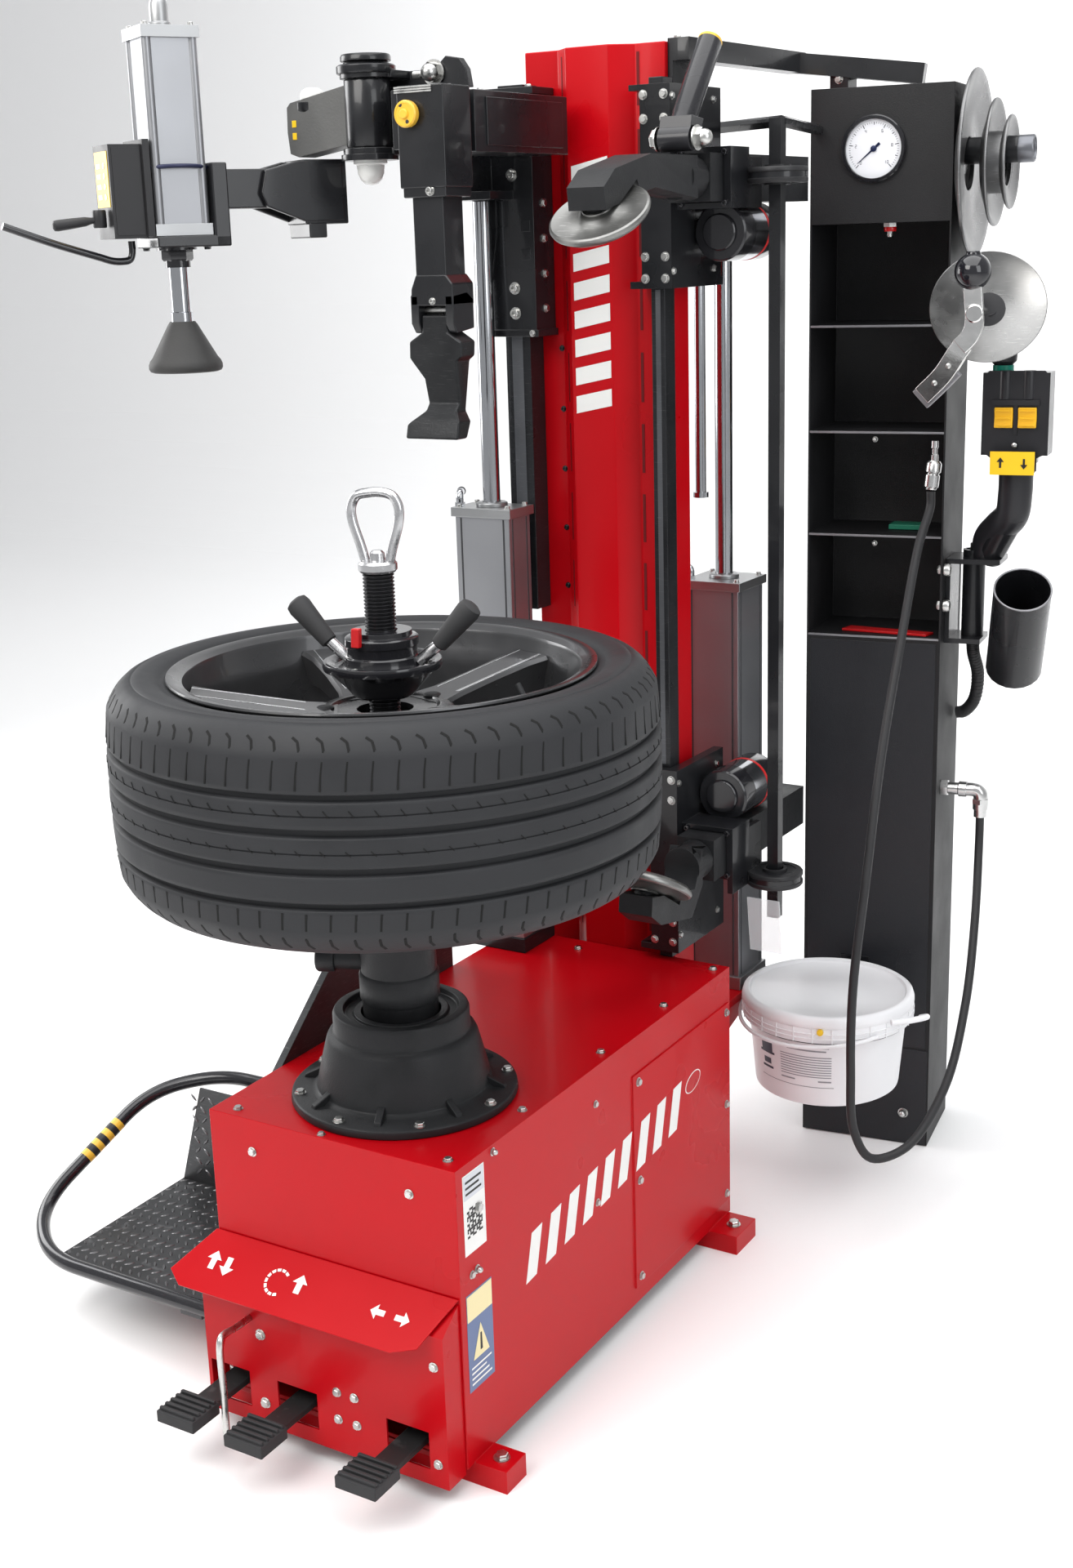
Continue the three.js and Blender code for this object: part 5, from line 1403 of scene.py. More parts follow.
def lug_tree():
    """Raised lugs of chequer plate on a grid, every second one turned across."""
    tree, source, result = new_tree(
        "chequer_lugs", "GeometryNodeTree",
        [("Lug", "Geometry"), ("Long", "Float"), ("Wide", "Float"), ("Across", "Int"),
         ("Along", "Int"), ("Middle", "Vector"), ("Tilt", "Vector"), ("Steel", "Material")],
        [("Lugs", "Geometry")])
    new = tree.nodes.new
    grid = new("GeometryNodeMeshGrid")
    index = new("GeometryNodeInputIndex")
    row = new("ShaderNodeMath")
    row.operation = "DIVIDE"
    whole = new("ShaderNodeMath")
    whole.operation = "FLOOR"
    both = new("ShaderNodeMath")
    both.operation = "ADD"
    odd = new("ShaderNodeMath")
    odd.operation = "MODULO"
    odd.inputs[1].default_value = 2.0
    angle = new("ShaderNodeMath")
    angle.operation = "MULTIPLY_ADD"
    angle.inputs[1].default_value = math.pi / 2
    angle.inputs[2].default_value = math.pi / 4
    turn = new("ShaderNodeCombineXYZ")
    copies = new("GeometryNodeInstanceOnPoints")
    place = new("GeometryNodeTransform")
    real = new("GeometryNodeRealizeInstances")
    steel = new("GeometryNodeSetMaterial")
    wire(tree, [
        (source, "Long", grid, "Size X"), (source, "Wide", grid, "Size Y"),
        (source, "Across", grid, "Vertices X"), (source, "Along", grid, "Vertices Y"),
        (index, 0, row, 0), (source, "Along", row, 1), (row, 0, whole, 0), (whole, 0, both, 0),
        (index, 0, both, 1), (both, 0, odd, 0), (odd, 0, angle, 0), (angle, 0, turn, "Z"),
        (grid, "Mesh", copies, "Points"), (source, "Lug", copies, "Instance"),
        (turn, 0, copies, "Rotation"), (copies, 0, place, "Geometry"),
        (source, "Middle", place, "Translation"), (source, "Tilt", place, "Rotation"),
        (place, 0, real, "Geometry"), (real, 0, steel, "Geometry"),
        (source, "Steel", steel, "Material"), (steel, 0, result, "Lugs")])
    return tree


chequer_lugs = lug_tree()
lug_bright = finish("lug_steel", (0.10, 0.10, 0.105), (0.2, 0.2, 0.205), (0.25, 0.4), 0.8,
                    grain=500, relief=0.1)
for name, length, wide, across, along, middle, tilt in (
        ("platform_lugs", 0.282, 0.280, 17, 17, at(-449, 48, 92), (0, 0, 0)),
        ("back_plate_lugs", 0.18, 0.13, 11, 8, at(-470, 193.9, 178), (math.pi / 2, 0, 0))):
    bm = bmesh.new()
    outline = [(-8.5, 0), (-5, -1.9), (0, -2.5), (5, -1.9), (8.5, 0), (5, 1.9), (0, 2.5), (-5, 1.9)]
    base = [bm.verts.new((x / 1000, y / 1000, -0.0002)) for x, y in outline]
    ridge = [bm.verts.new((x * 0.72 / 1000, y * 0.5 / 1000, 0.0013)) for x, y in outline]
    bm.faces.new(ridge)
    bm.faces.new(list(reversed(base)))
    for i in range(8):
        n = (i + 1) % 8
        bm.faces.new((base[i], base[n], ridge[n], ridge[i]))
    lug = bpy.data.meshes.new(name)
    bm.to_mesh(lug)
    bm.free()
    values = {"Long": length, "Wide": wide, "Across": across, "Along": along,
              "Middle": tuple(middle), "Tilt": tilt, "Steel": lug_bright}
    settle(name, lug, chequer_lugs, values, lug_bright, "lift_arm")
bm = bmesh.new()
low_bend, high_bend = at(-700, -20, 118), at(-652, 190, 236)
way = (high_bend - low_bend).normalized()
for k in range(7):
    start = low_bend.lerp(high_bend, 0.56) + way * (k * 0.011 - 0.038)
    add_pipe(bm, [start, start + way * 0.011], 0.0114, 24, k % 2)
piece("hazard_tape", bm, [knob_yellow, black_plastic], "lift_arm")
carry("lift_panel", plate_dark, "machine", 0.8)

# ---- cabinet -----------------------------------------------------------------------------
# A tall folded steel cabinet beside the machine: gauge head on top, open shelves,
# and a deep lower panel. Textured black powder coat, with bright screws.
textured = finish("textured_black", (0.006, 0.006, 0.0066), (0.014, 0.014, 0.0155), (0.45, 0.62),
                  grain=650, patch=6, relief=0.5, depth=0.0006)
panel_black = finish("lower_panel_black", (0.010, 0.0105, 0.0125), (0.02, 0.021, 0.025),
                     (0.34, 0.5), grain=650, patch=3, relief=0.4, depth=0.0006)
# Light grey metal for the shelf fronts' edges and the tube holder's lip: painted highlights where
# those edges catch the light. The plate behind the crank lever is in the same grey.
edge_highlight_grey = finish("shelf_edge", (0.20, 0.20, 0.21), (0.36, 0.36, 0.38), (0.3, 0.45), 0.7)
carry("cabinet_shell", textured, "machine", 1.2)
bm = bmesh.new()
add_block(bm, 7, W - 7, -0.9, 0.4, 190, 898, 0, cabinet_at)
add_block(bm, 3, W - 3, -1.2, 0.4, 10, 186, 0, cabinet_at)
piece("cabinet_lower_panel", bm, [panel_black], "machine", rounding=0.5)
# Thin grey strips along the shelf fronts: painted highlights on their edges.
bm = bmesh.new()
for z in (904, 1070, 1235, 1400):
    add_block(bm, 3, W - 3, -1.0, 0.6, z, z + 3.4, 0, cabinet_at)
piece("shelf_edges", bm, [edge_highlight_grey], "machine", rounding=0.3)
cabinet_left = cabinet_at(0, 0, 0) - cabinet_at(1, 0, 0)
cabinet_right = -cabinet_left
cabinet_front = cabinet_at(0, 0, 0) - cabinet_at(0, 1, 0)
bolts("cabinet_bolts", "machine",
      [(cabinet_at(x, -1.2, 66), cabinet_front, 8) for x in (40, 180)]
      + [(cabinet_at(x, 0, z), cabinet_front, 4) for x, z in ((110, 1226), (112, 1060))], zinc,
      "dome")
case_green = finish("case_green", (0.01, 0.12, 0.07), (0.02, 0.2, 0.12), (0.3, 0.45))
bm = bmesh.new()
add_block(bm, 120, 176, 60, 100, 1073.6, 1082, 0, cabinet_at)
piece("shelf_green_case", bm, [case_green], "machine", rounding=1.5, steps=3)
bm = bmesh.new()
outline = [(52, 30), (196, 12), (204, 34), (60, 58)]
add_slab(bm, [cabinet_at(x, y, 907.6) for x, y in outline], (0, 0, 0.004))
piece("shelf_red_strip", bm, [red_plastic], "machine", rounding=0.8)
bm = bmesh.new()
foot = cabinet_at(122, 24, 1557)
add_drum(bm, 11, 0, -6, foot, UP, 6, 0)
add_turning(bm, [[0, -5], [9, -5], [10, -8], [9, -13], [0, -13]], foot, UP, 28, 1)
add_turning(bm, [[0, -12], [5, -12], [5, -19], [4, -21], [0, -21]], foot, UP, 24, 0)
piece("regulator_coupling", bm, [zinc, red_plastic], "machine")
bm = bmesh.new()
add_drum(bm, 20, 0, 84, cabinet_at(W + 0.3, 80, 1660),
            cabinet_right, 48, 0)
add_turning(bm, [[0, 84], [20.3, 84], [20.6, 86], [20.6, 106], [19.4, 108], [17, 108],
                 [16, 104], [0, 104]], cabinet_at(W + 0.3, 80, 1660), cabinet_right, 48, 1)
add_drum(bm, 34, 0, 1.6, cabinet_at(W + 0.2, 80, 1660),
            cabinet_right, 48, 0)
peg_end = finish("peg_end", (0.10, 0.105, 0.12), (0.2, 0.205, 0.22), (0.25, 0.4), 0.8)
piece("peg_tube", bm, [powder, peg_end], "machine", ["cone_peg"], rounding=0.5)
bm = bmesh.new()
for x0, x1, r in ((W - 0.5, W + 12, 14), (W + 12, W + 30, 10.5), (W + 30, W + 44, 13.5)):
    add_turning(bm, [[0, x0], [r - 1, x0], [r, x0 + 1], [r, x1 - 1], [r - 1, x1], [0, x1]],
                cabinet_at(0, 40, 648), cabinet_right, 6 if r == 14 else 36, 0)
knee = [cabinet_at(W + 40, 40, 648), cabinet_at(W + 56, 40, 648), cabinet_at(W + 63, 40, 645),
        cabinet_at(W + 66, 40, 638), cabinet_at(W + 66, 40, 622)]
add_pipe(bm, spline_points(knee, 6), 0.0118, 28)
for z0, z1, r in ((634, 626, 14.5), (626, 616, 12.5), (616, 603, 10.5)):
    add_drum(bm, r, z0, z1, cabinet_at(W + 66, 40, 0), UP,
                6 if r == 14.5 else 32, 0)
piece("air_elbow_fitting", bm, [chuck_metal], "machine", ["air_elbow"], 0.4)
bm = bmesh.new()
for z in (1018, 960):
    add_turning(bm, [[0, 0], [9, 0], [10, 1], [10, 7], [8, 11], [4, 12], [0, 12]],
                cabinet_at(W + 0.2, 14, z), cabinet_right, 28)
    add_turning(bm, [[0, 0], [8, 0], [8, 5], [6, 7], [0, 7]], cabinet_at(W - 3, 14, z),
                cabinet_left, 6)
piece("bracket_bolts", bm, [zinc], "machine", rounding=0.4)

cabinet_back = -cabinet_front
bm = bmesh.new()
for z0, z1 in ((26, 886), (1566, 1746)):
    add_block(bm, 10, W - 10, 159.6, 161.2, z0, z1, 0, cabinet_at)
piece("cabinet_rear_covers", bm, [panel_black], "machine", rounding=0.6)
bolts("rear_cover_screws", "machine",
      [(cabinet_at(x, 161.2, z), cabinet_back, 4) for x in (22, W - 22)
       for z in (40, 456, 872, 1580, 1732)], zinc, "dome")

# ---- pressure gauge ------------------------------------------------------------------
# A glass-fronted dial let into the cabinet's head: white face, fine ticks, small
# numbers, blued needle on a boss, and a pressed black bezel.
dial_white = finish("dial_white", (0.72, 0.73, 0.76), (0.80, 0.81, 0.84), (0.35, 0.45), relief=0.02)
dial_ink = finish("dial_ink", (0.03, 0.03, 0.05), (0.05, 0.05, 0.08), (0.4, 0.5))
needle_blue = finish("needle_blue", (0.01, 0.014, 0.05), (0.02, 0.03, 0.08), (0.25, 0.35), 0.4)
gauge_spot = cabinet_at(100, 0, 1667)
bm = bmesh.new()
add_turning(bm, [[43.5, 0], [43.5, 6.4], [44.6, 7.6], [48.2, 7.6], [50, 5.6], [50, 0.3],
                 [43.5, 0.3]], gauge_spot, cabinet_front, 96, 0)
add_drum(bm, 43.5, -38, 0.8, gauge_spot, cabinet_front, 72, 1)
piece("gauge_bezel", bm, [black_gloss, dial_white], "machine", ["gauge"])
bm = bmesh.new()
for k in range(51):
    a = math.radians(-135 + 270 * k / 50)
    long = 6.0 if k % 10 == 0 else (4.2 if k % 5 == 0 else 2.6)
    wide = 0.55 if k % 5 == 0 else 0.28
    c, s = math.cos(a), math.sin(a)
    outer, inner = 39.0, 39.0 - long
    spots = [(inner, -wide), (outer, -wide), (outer, wide), (inner, wide)]
    face = [cabinet_at(100 + r * s + t * c, -1.0, 1667 + r * c - t * s) for r, t in spots]
    add_slab(bm, face, cabinet_front * 0.0001)
STROKES = {"0": [(0, 0), (0, 2), (1, 2), (1, 0), (0, 0)], "1": [(0.5, 0), (0.5, 2)],
           "2": [(0, 2), (1, 2), (1, 1), (0, 1), (0, 0), (1, 0)],
           "4": [(0, 2), (0, 1), (1, 1), (1, 2), (1, 0)],
           "6": [(1, 2), (0, 2), (0, 0), (1, 0), (1, 1), (0, 1)],
           "8": [(0, 1), (1, 1), (1, 2), (0, 2), (0, 0), (1, 0), (1, 1)]}
for k, text in enumerate(("0", "2", "4", "6", "8", "10")):
    a = math.radians(-135 + 54 * k)
    mx, mz = 100 + 28.5 * math.sin(a), 1667 + 28.5 * math.cos(a)
    for i, mark in enumerate(text):
        line = [(mx + 2.2 * x - 1.1 + 3.4 * (i - (len(text) - 1) / 2), mz + 2.2 * z - 2.2)
                for x, z in STROKES[mark]]
        for (ax, az), (bx, bz) in zip(line, line[1:]):
            dx, dz = bx - ax, bz - az
            size = math.hypot(dx, dz)
            nx, nz = -dz / size * 0.3, dx / size * 0.3
            add_slab(bm, [cabinet_at(ax - nx, -1.0, az - nz), cabinet_at(bx - nx, -1.0, bz - nz),
                          cabinet_at(bx + nx, -1.0, bz + nz), cabinet_at(ax + nx, -1.0, az + nz)],
                     cabinet_front * 0.0001)
piece("gauge_scale", bm, [dial_ink], "machine")
bm = bmesh.new()
turn = math.radians(-130)


def needle_at(x, y, z):
    return cabinet_at(100 + x * math.cos(turn) + z * math.sin(turn), y,
                      1667 - x * math.sin(turn) + z * math.cos(turn))


blade = [needle_at(-2.2, -1.8, -12), needle_at(2.2, -1.8, -12), needle_at(1.3, -1.8, 8),
         needle_at(0.35, -1.8, 33), needle_at(-0.35, -1.8, 33), needle_at(-1.3, -1.8, 8)]
add_slab(bm, blade, cabinet_front * 0.0006)
add_turning(bm, [[0, 1.4], [4.6, 1.4], [4.6, 3.4], [3.2, 4.2], [0, 4.2]], gauge_spot,
            cabinet_front, 32)
piece("gauge_pointer", bm, [needle_blue], "pressure_needle", ["gauge_needle"])

# ---- centring cones ----------------------------------------------------------------------
# Dished steel centring cones hung on the side peg: a large one against the
# cabinet and a medium one with its sleeve and small ring. Satin, dark and oiled.
cone_steel = finish("cone_steel", (0.13, 0.13, 0.132), (0.24, 0.24, 0.242), (0.22, 0.4), 0.9,
                    grain=300, patch=9, relief=0.08, scratch=0.35)


def centring_cone(bm, r, x, depth):
    profile = [[40, 0], [r * 0.5, 0], [r * 0.62, 1.2], [r * 0.85, depth - 9], [r - 4, depth - 6.4],
               [r - 0.8, depth - 4.6], [r, depth - 2.6], [r - 0.8, depth - 0.6], [r - 3, depth],
               [r * 0.9, depth - 1.6], [r * 0.62, 8.2], [r * 0.5, 7], [41, 7], [40, 6], [40, 0]]
    add_turning(bm, [[a, b + x] for a, b in profile], cabinet_at(0, 80, 1641.5), cabinet_right,
                112)


bm = bmesh.new()
centring_cone(bm, 140, W + 2, 20)
piece("cone_large_dish", bm, [cone_steel], "cones", ["cone_large"])
bm = bmesh.new()
centring_cone(bm, 95, W + 34, 18)
centring_cone(bm, 70, W + 60, 15)
add_turning(bm, [[39.7, W + 33], [45, W + 33], [46, W + 34], [46, W + 67], [45, W + 68],
                 [39.7, W + 68], [39.7, W + 33]], cabinet_at(0, 80, 1641.5), cabinet_right, 72)
piece("cone_medium_dish", bm, [cone_steel], "cones", ["cone_medium"])

# ---- control stand ------------------------------------------------------------------------
# The hand control on a bent tube that swivels in a bracket on the cabinet's
# side: moulded black head, two yellow rockers, an arrow label, tube holder below.
moulded = finish("moulded_black", (0.010, 0.010, 0.012), (0.022, 0.022, 0.025), (0.28, 0.42),
                 patch=10, relief=0.12)
carry("control_stand", powder, "machine", 2.2, 3, name="control_body")
bm = bmesh.new()
for x in (W + 90, W + 126):
    add_turning(bm, [[0, 1333], [9, 1333], [10, 1331], [10, 1290], [0, 1290]],
                cabinet_at(x, 2, 0), UP, 28)
outline = [(58, 1210), (70, 1200), (96, 1198), (96, 1180), (142, 1180), (142, 1200), (150, 1204),
           (157, 1214), (157, 1326), (150, 1333), (66, 1333), (58, 1326)]
add_slab(bm, [cabinet_at(W + x, -4.4, z) for x, z in outline], -cabinet_front * 0.010)
add_block(bm, W + 72, W + 144, -8, 2, 1281, 1289, 0, cabinet_at)
add_block(bm, W + 105, W + 111, -7, 2, 1236, 1288, 0, cabinet_at)
add_turning(bm, [[0, 1034], [26, 1034], [27, 1040], [25, 1056], [0, 1056]],
            cabinet_at(W + 60, 64, 0), UP, 48)
elbow = ((60, 64, 1040), (64, 60, 1064), (82, 45, 1086), (102, 28, 1108), (107, 22, 1140),
         (108, 18, 1190))
add_pipe(bm, spline_points([cabinet_at(W + x, y, z) for x, y, z in elbow], 8), 0.0265, 40)
piece("control_head_skin", bm, [moulded], "machine", rounding=1.4, steps=3)
bm = bmesh.new()
add_slab(bm, [cabinet_at(px, -23.4, pz) for px, pz in
              ((W + 74, 1176), (W + 142, 1176), (W + 142, 1212), (W + 74, 1212))],
         cabinet_front * 0.0006, 0)
for x, turned_over in ((W + 90, False), (W + 126, True)):
    shape = [(-1.6, -7), (1.6, -7), (1.6, 2), (5.5, 2), (0, 9), (-5.5, 2), (-1.6, 2)]
    if turned_over:
        shape = [(-a, -b) for a, b in shape]
    add_slab(bm, [cabinet_at(x + a, -24.0, 1194 + b) for a, b in shape],
             cabinet_front * 0.0003, 1)
add_block(bm, W + 76, W + 140, -23.2, 0, 1178, 1210, 2, cabinet_at)
add_turning(bm, [[0, 0], [4.5, 0], [4, 2], [2, 3], [0, 3]], cabinet_at(W + 108, -8, 1220),
            cabinet_front, 24, 3)
piece("control_label", bm, [label_yellow, black_plastic, moulded, zinc], "machine",
      rounding=0.3)
rocker_yellow = finish("rocker_yellow", (0.74, 0.40, 0.012), (0.84, 0.48, 0.02), (0.3, 0.42),
                       grain=500, relief=0.08)
carry("rocker_left", rocker_yellow, "button_left", 1.6, 3)
carry("rocker_right", rocker_yellow, "button_right", 1.6, 3)
for name, x0, x1, body in (("rocker_left_ribs", W + 78, W + 102, "button_left"),
                           ("rocker_right_ribs", W + 114, W + 138, "button_right")):
    bm = bmesh.new()
    for z in (1251, 1262, 1273):
        add_block(bm, x0, x1, -15.4, -13, z - 0.7, z + 0.7, 0, cabinet_at)
    piece(name, bm, [rocker_yellow], body, rounding=0.3)
bm = bmesh.new()
add_turning(bm, [[0, 1034], [16, 1034], [16, 1046], [8, 1046], [8, 1056], [0, 1057]],
            cabinet_at(W + 39, 64, 0), UP, 6)
piece("stand_nut", bm, [zinc], "machine", rounding=0.6)
bm = bmesh.new()
add_drum(bm, 16, 1331, 1340, cabinet_at(W + 82, 22, 0), UP, 40,
            0)
add_turning(bm, [[0, 1340], [14, 1340], [20, 1346], [21, 1356], [17, 1362], [0, 1362]],
            cabinet_at(W + 82, 22, 0), UP, 48, 1)
collar_green = finish("collar_green", (0.004, 0.20, 0.14), (0.01, 0.3, 0.2), (0.28, 0.4))
piece("mirror_collar", bm, [collar_green, moulded], "machine")

# ---- tube holder ---------------------------------------------------------------------
# An open steel tube welded on at a slant for the pry tools. It is black inside and out,
# with a thin bright ring on its lip that is a painted highlight.
carry("tube_holder", powder, "machine", 0.8)
lip = []
for k in range(49):
    a = 2 * math.pi * k / 48
    v = Vector((43.5 * math.cos(a), 43.5 * math.sin(a), 0.2))
    v.rotate(Matrix.Rotation(math.radians(38), 3, "X"))
    v.rotate(Matrix.Rotation(math.radians(14), 3, "Z"))
    lip.append(cabinet_at(W + 134 + v.x, -36 + v.y, 1000 + v.z))
bm = bmesh.new()
add_pipe(bm, lip, 0.0016, 10, caps=False)
piece("holder_lip", bm, [edge_highlight_grey], "machine")

# ---- crank and dish ---------------------------------------------------------------------
# A shallow brushed dish turned towards the operator, with a chromed crank, a
# black ball knob in front of it, and a flat bright lever clamped below.
dish_steel = finish("dish_steel", (0.16, 0.16, 0.16), (0.30, 0.30, 0.295), (0.2, 0.36), 0.95,
                    grain=260, patch=14, relief=0.12, scratch=0.25)
spun = Matrix.Rotation(math.radians(10), 3, "Z") @ Matrix.Rotation(math.radians(68), 3, "X")
dish_axis = spun @ Vector((0, 0, 1))
dish_axis = (cabinet_at(*dish_axis) - cabinet_at(0, 0, 0)).normalized()
centre = cabinet_at(W + 68, -48, 1428)
bm = bmesh.new()
add_turning(bm, [[0, -9], [30, -7.4], [60, -3.6], [80, 4.2], [86, 7.4], [86.6, 8.4], [85.6, 9],
                 [79, 6.4], [58, 0.4], [30, -3.4], [0, -5]], centre, dish_axis, 112, 0)
add_turning(bm, [[0, -5.2], [24, -4.6], [26, -3.2], [0, -2.2]], centre, dish_axis, 56, 1)
foot, head = cabinet_at(W + 82, 20, 1345), cabinet_at(W + 70, -42, 1424)
add_pipe(bm, [foot + (head - foot) * t for t in (0, 0.2, 0.6, 0.9, 1.0)],
         [0.0125, 0.012, 0.011, 0.0105, 0.0105], 32, 1)
piece("dish_plate", bm, [dish_steel, moulded], "machine", ["mirror"])
ball_black = finish("ball_black", (0.006, 0.006, 0.008), (0.014, 0.014, 0.018), (0.05, 0.12),
                    coat=0.6, patch=9, relief=0.02)
bright_cast = finish("bright_casting", (0.58, 0.58, 0.57), (0.74, 0.74, 0.73), (0.12, 0.26), 1.0,
                     grain=240, patch=30, relief=0.25, depth=0.0007)
bm = bmesh.new()
rows = []
for k in range(25):
    a = math.pi * k / 24
    rows.append([27 * math.sin(a), -27 * math.cos(a)])
add_turning(bm, rows, cabinet_at(W + 56, -112, 1484), UP, 56, 0)
add_turning(bm, [[0, 22], [11, 22], [11.5, 25], [9.5, 29], [0, 29.6]],
            cabinet_at(W + 56, -112, 1484), UP, 32, 0)
piece("crank_ball", bm, [ball_black], "machine")


def flat_bar(bm, line, wide, thick, side):
    """A flat forged bar: a rectangle carried along a line, its wide face kept to one side."""
    rings = []
    for i, p in enumerate(line):
        way = (line[min(i + 1, len(line) - 1)] - line[max(i - 1, 0)]).normalized()
        out = (side - way * side.dot(way)).normalized()
        over = way.cross(out)
        w = wide[i] if isinstance(wide, list) else wide
        rings.append([bm.verts.new(p + over * (a * w / 2) + out * (b * thick / 2))
                      for a, b in ((-1, -1), (1, -1), (1, 1), (-1, 1))])
    for a, b in zip(rings, rings[1:]):
        for k in range(4):
            bm.faces.new((a[k], a[(k + 1) % 4], b[(k + 1) % 4], b[k]))
    bm.faces.new(list(reversed(rings[0])))
    bm.faces.new(rings[-1])
    bmesh.ops.recalc_face_normals(bm, faces=bm.faces)


bm = bmesh.new()
crank_line = [cabinet_at(W + 57, -113, 1462), cabinet_at(W + 59, -113, 1440),
              cabinet_at(W + 61, -114, 1424), cabinet_at(W + 60, -114, 1404),
              cabinet_at(W + 54, -114, 1390), cabinet_at(W + 40, -113, 1376)]
flat_bar(bm, spline_points(crank_line, 5), 0.027, 0.012, cabinet_front)
add_turning(bm, [[0, -6], [13, -6], [14, -4], [14, 8], [12, 10], [0, 10]],
            cabinet_at(W + 61, -112, 1424), cabinet_front, 40)
crank_line = [cabinet_at(W + 46, -112, 1380), cabinet_at(W + 36, -111, 1366),
              cabinet_at(W + 14, -104, 1334), cabinet_at(W - 18, -93, 1303)]
flat_bar(bm, spline_points(crank_line, 4), 0.030, 0.011, cabinet_front)
add_pipe(bm, [cabinet_at(W + 61, -104, 1424), cabinet_at(W + 66, -62, 1424)], 0.006, 20)
piece("crank_lever", bm, [bright_cast], "machine", rounding=2.4, steps=3)
# A plain grey flat plate behind the lever, in the grey used for the painted edge highlights.
bm = bmesh.new()
crank_line = [cabinet_at(W + 30, -104, 1346), cabinet_at(W + 8, -98, 1324),
              cabinet_at(W - 22, -88, 1296)]
flat_bar(bm, spline_points(crank_line, 4), 0.034, 0.010, cabinet_front)
piece("crank_lever_back", bm, [edge_highlight_grey], "machine", rounding=1.6, steps=2)
bm = bmesh.new()
for x, y, z in ((W + 24, -114.5, 1348), (W + 2, -106, 1322)):
    add_turning(bm, [[0, 0], [4.2, 0], [4, 1.4], [2, 2.4], [0, 2.4]], cabinet_at(x, y, z),
                cabinet_front, 24)
piece("crank_rivets", bm, [zinc], "machine")
conduit_line = spline_points(
    [cabinet_at(W + 36, 86, 894), cabinet_at(W + 37, 90, 870), cabinet_at(W + 42, 110, 830),
     cabinet_at(W + 34, 124, 780), cabinet_at(W + 18, 126, 760), cabinet_at(W + 5, 126, 757)], 8)
bm = bmesh.new()
add_pipe(bm, conduit_line, 0.010, 24)
for k in range(34):
    line = conduit_line
    spot = line[min(len(line) - 2, 2 + k)]
    way = (line[min(len(line) - 1, 3 + k)] - spot).normalized()
    add_turning(bm, [[9.4, -1], [10.7, -0.6], [10.7, 0.6], [9.4, 1]], spot, way, 24, 0)
piece("control_conduit", bm, [hose_rubber], "machine", ["control_hose"])

# ---- paste bucket ------------------------------------------------------------------------
# A white moulded pail of mounting paste in a ring on the cabinet, with a lid, a
# ribbed collar, a bail on its ears, and a plain printed label.
pail_white = finish("pail_white", (0.72, 0.72, 0.74), (0.82, 0.82, 0.83), (0.28, 0.4),
                    grain=420, patch=6)
label_grey = finish("label_grey", (0.22, 0.22, 0.24), (0.34, 0.34, 0.36), (0.4, 0.55), relief=0.02)
pail = cabinet_at(91, -184, 198)
bm = bmesh.new()
add_turning(bm, [[131, 115.4], [134, 115.4], [135, 116.4], [135, 136], [134, 137], [131, 137],
                 [131, 115.4]], pail, UP, 96)
add_block(bm, 71, 111, -53, -0.3, 309, 335, 0, cabinet_at)
add_block(bm, 66, 116, -4, -0.3, 296, 348, 0, cabinet_at)
piece("pail_ring", bm, [powder], "machine", ["bucket_ring"], 0.6, 2)
bm = bmesh.new()
add_turning(bm, [[0, 3], [100, 3], [104, 0], [112, 0], [116, 3], [117, 8], [127, 118],
                 [137.6, 118.4], [138.6, 121], [138.8, 141], [137.8, 143.4], [0, 143.4]],
            pail, UP, 128)
lid = [[0, 143], [138.4, 143], [139.6, 145.5], [139.6, 151], [138.4, 154.5], [137.4, 158],
       [134, 160.6], [130, 161.4], [127, 160.4], [125.4, 156.4], [124, 155.4], [60, 156.6],
       [0, 157]]
add_turning(bm, lid, pail, UP, 128)
for z in (126, 134):
    add_turning(bm, [[138, z - 1.4], [140, z - 0.8], [140, z + 0.8], [138, z + 1.4]], pail, UP, 128)
for k in range(28):
    a = 2 * math.pi * k / 28
    out = Vector((math.cos(a), math.sin(a), 0))
    spot = pail + out * 0.1388 + Vector((0, 0, 0.119))
    across = Vector((-out.y, out.x, 0)) * 0.0011
    add_slab(bm, [spot - across, spot + across, spot + across + Vector((0, 0, 0.024)),
                  spot - across + Vector((0, 0, 0.024))], out * 0.0012)
bail = []
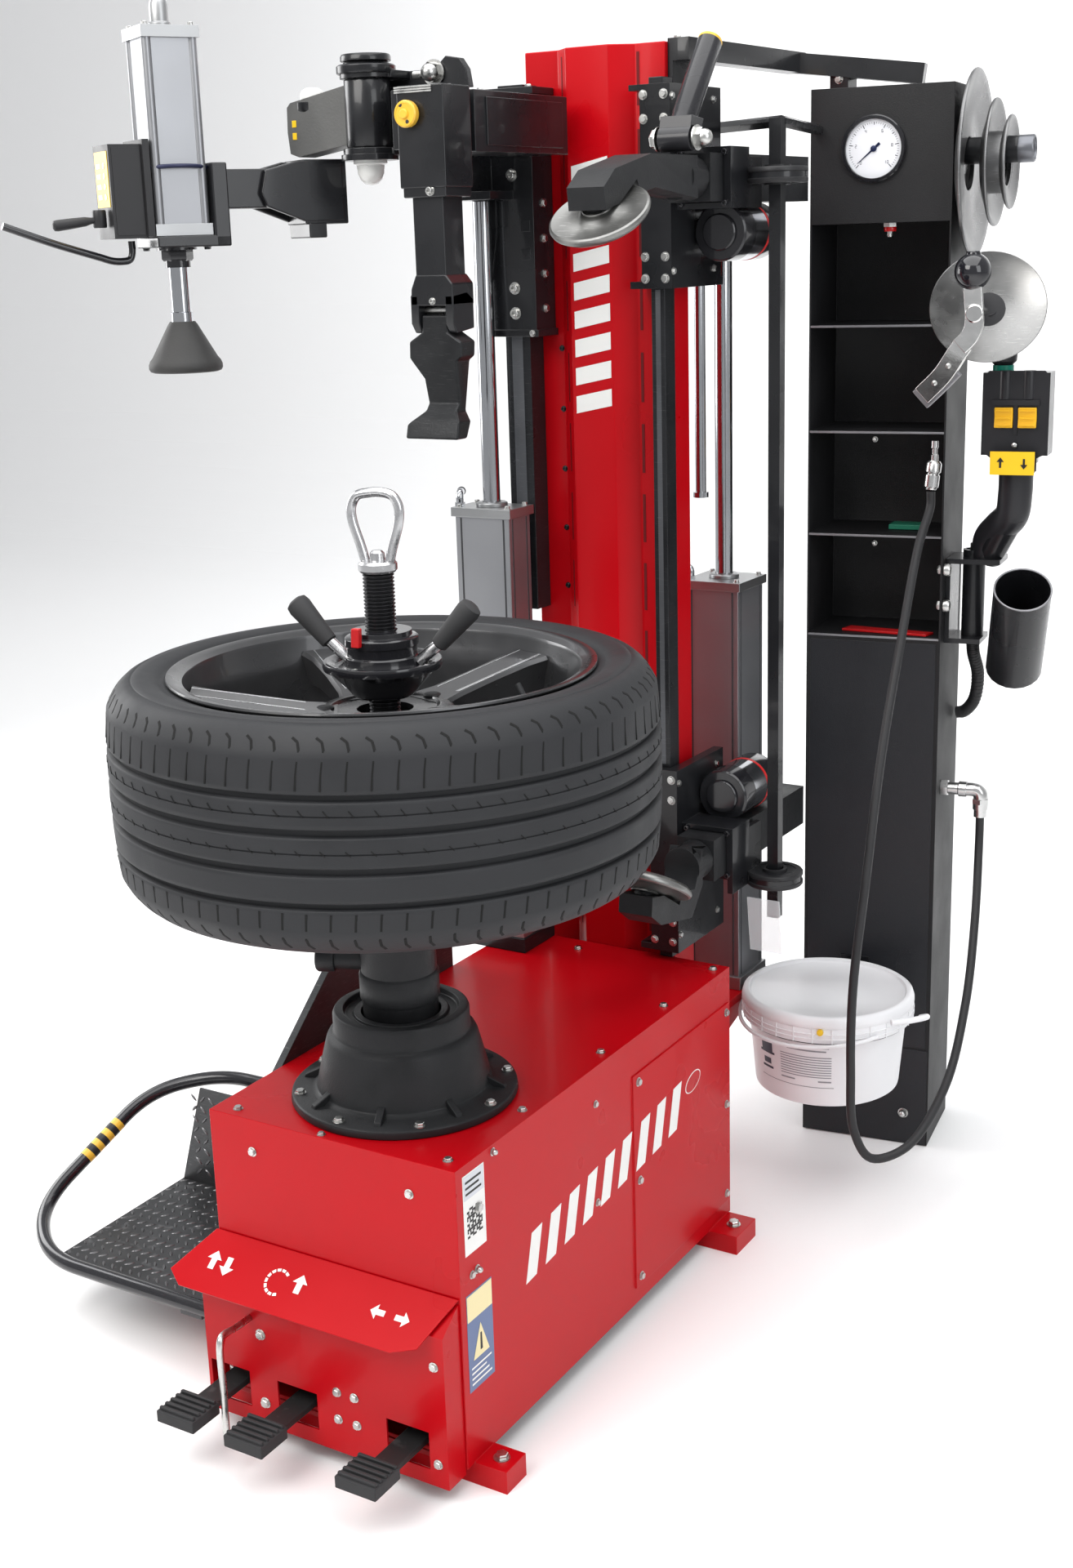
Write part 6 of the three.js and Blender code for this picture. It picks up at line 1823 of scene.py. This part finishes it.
for k in range(33):
    a = math.radians(-78 + 156 * k / 32 + 8)
    drop = 0.020 * math.cos(math.radians(-78 + 156 * k / 32)) + 0.006
    out = Vector((math.sin(a - math.radians(30)), -math.cos(a - math.radians(30)), 0))
    bail.append(pail + out * 0.1432 + Vector((0, 0, 0.136 - drop)))
add_pipe(bm, bail, 0.0032, 14)
hoop = []
for k in range(17):
    t = k / 16
    a = math.radians(-26 + 46 * t)
    swell = 0.150 + 0.018 * math.sin(math.pi * t)
    hoop.append(pail + Vector((math.cos(a) * swell, math.sin(a) * swell,
                               0.148 - 0.034 * t + 0.010 * math.sin(math.pi * t))))
add_pipe(bm, hoop, 0.0048, 16)
piece("pail_body", bm, [pail_white], "paste_bucket", ["bucket"], 0.5, 2)
bm = bmesh.new()


def pail_label(bm, a0, a1, z0, z1, paint, lift):
    """A thin printed patch bent round the pail's tapering wall."""
    grid = []
    for i in range(9):
        a = math.radians(a0 + (a1 - a0) * i / 8)
        column = []
        for z in (z0, z1):
            r = (117 + (z - 8) / 11 + lift) / 1000
            column.append(bm.verts.new(pail + Vector((math.sin(a) * r, -math.cos(a) * r,
                                                      z / 1000))))
        grid.append(column)
    for left, right in zip(grid, grid[1:]):
        bm.faces.new((left[0], right[0], right[1], left[1])).material_index = paint


for k in range(9):
    pail_label(bm, -14, 26, 52 + 4.4 * k, 53.6 + 4.4 * k, 0, 0.35)
for z, a0, a1 in ((98, -8, 22), (104, -8, 24), (44, -14, -2), (44, 16, 26)):
    pail_label(bm, a0, a1, z, z + 2.6, 0, 0.35)
for z0, z1, a0, a1 in ((80, 100, -34, -22), (76, 80, -36, -20), (58, 68, -32, -24),
                       (50, 54, -34, -22)):
    pail_label(bm, a0, a1, z0, z1, 1, 0.35)
pail_label(bm, -36, 28, 34, 35.2, 0, 0.35)
piece("pail_print", bm, [label_grey, dial_ink], "paste_bucket")
bm = bmesh.new()
a = math.radians(18)
spot = pail + Vector((math.sin(a) * 0.1395, -math.cos(a) * 0.1395, 0.139))
add_turning(bm, [[0, -3], [4, -3], [5.4, 0], [5, 4], [0, 5.4]], spot,
            Vector((math.sin(a), -math.cos(a), 0)), 24)
piece("pail_seal_tab", bm, [label_yellow], "paste_bucket")
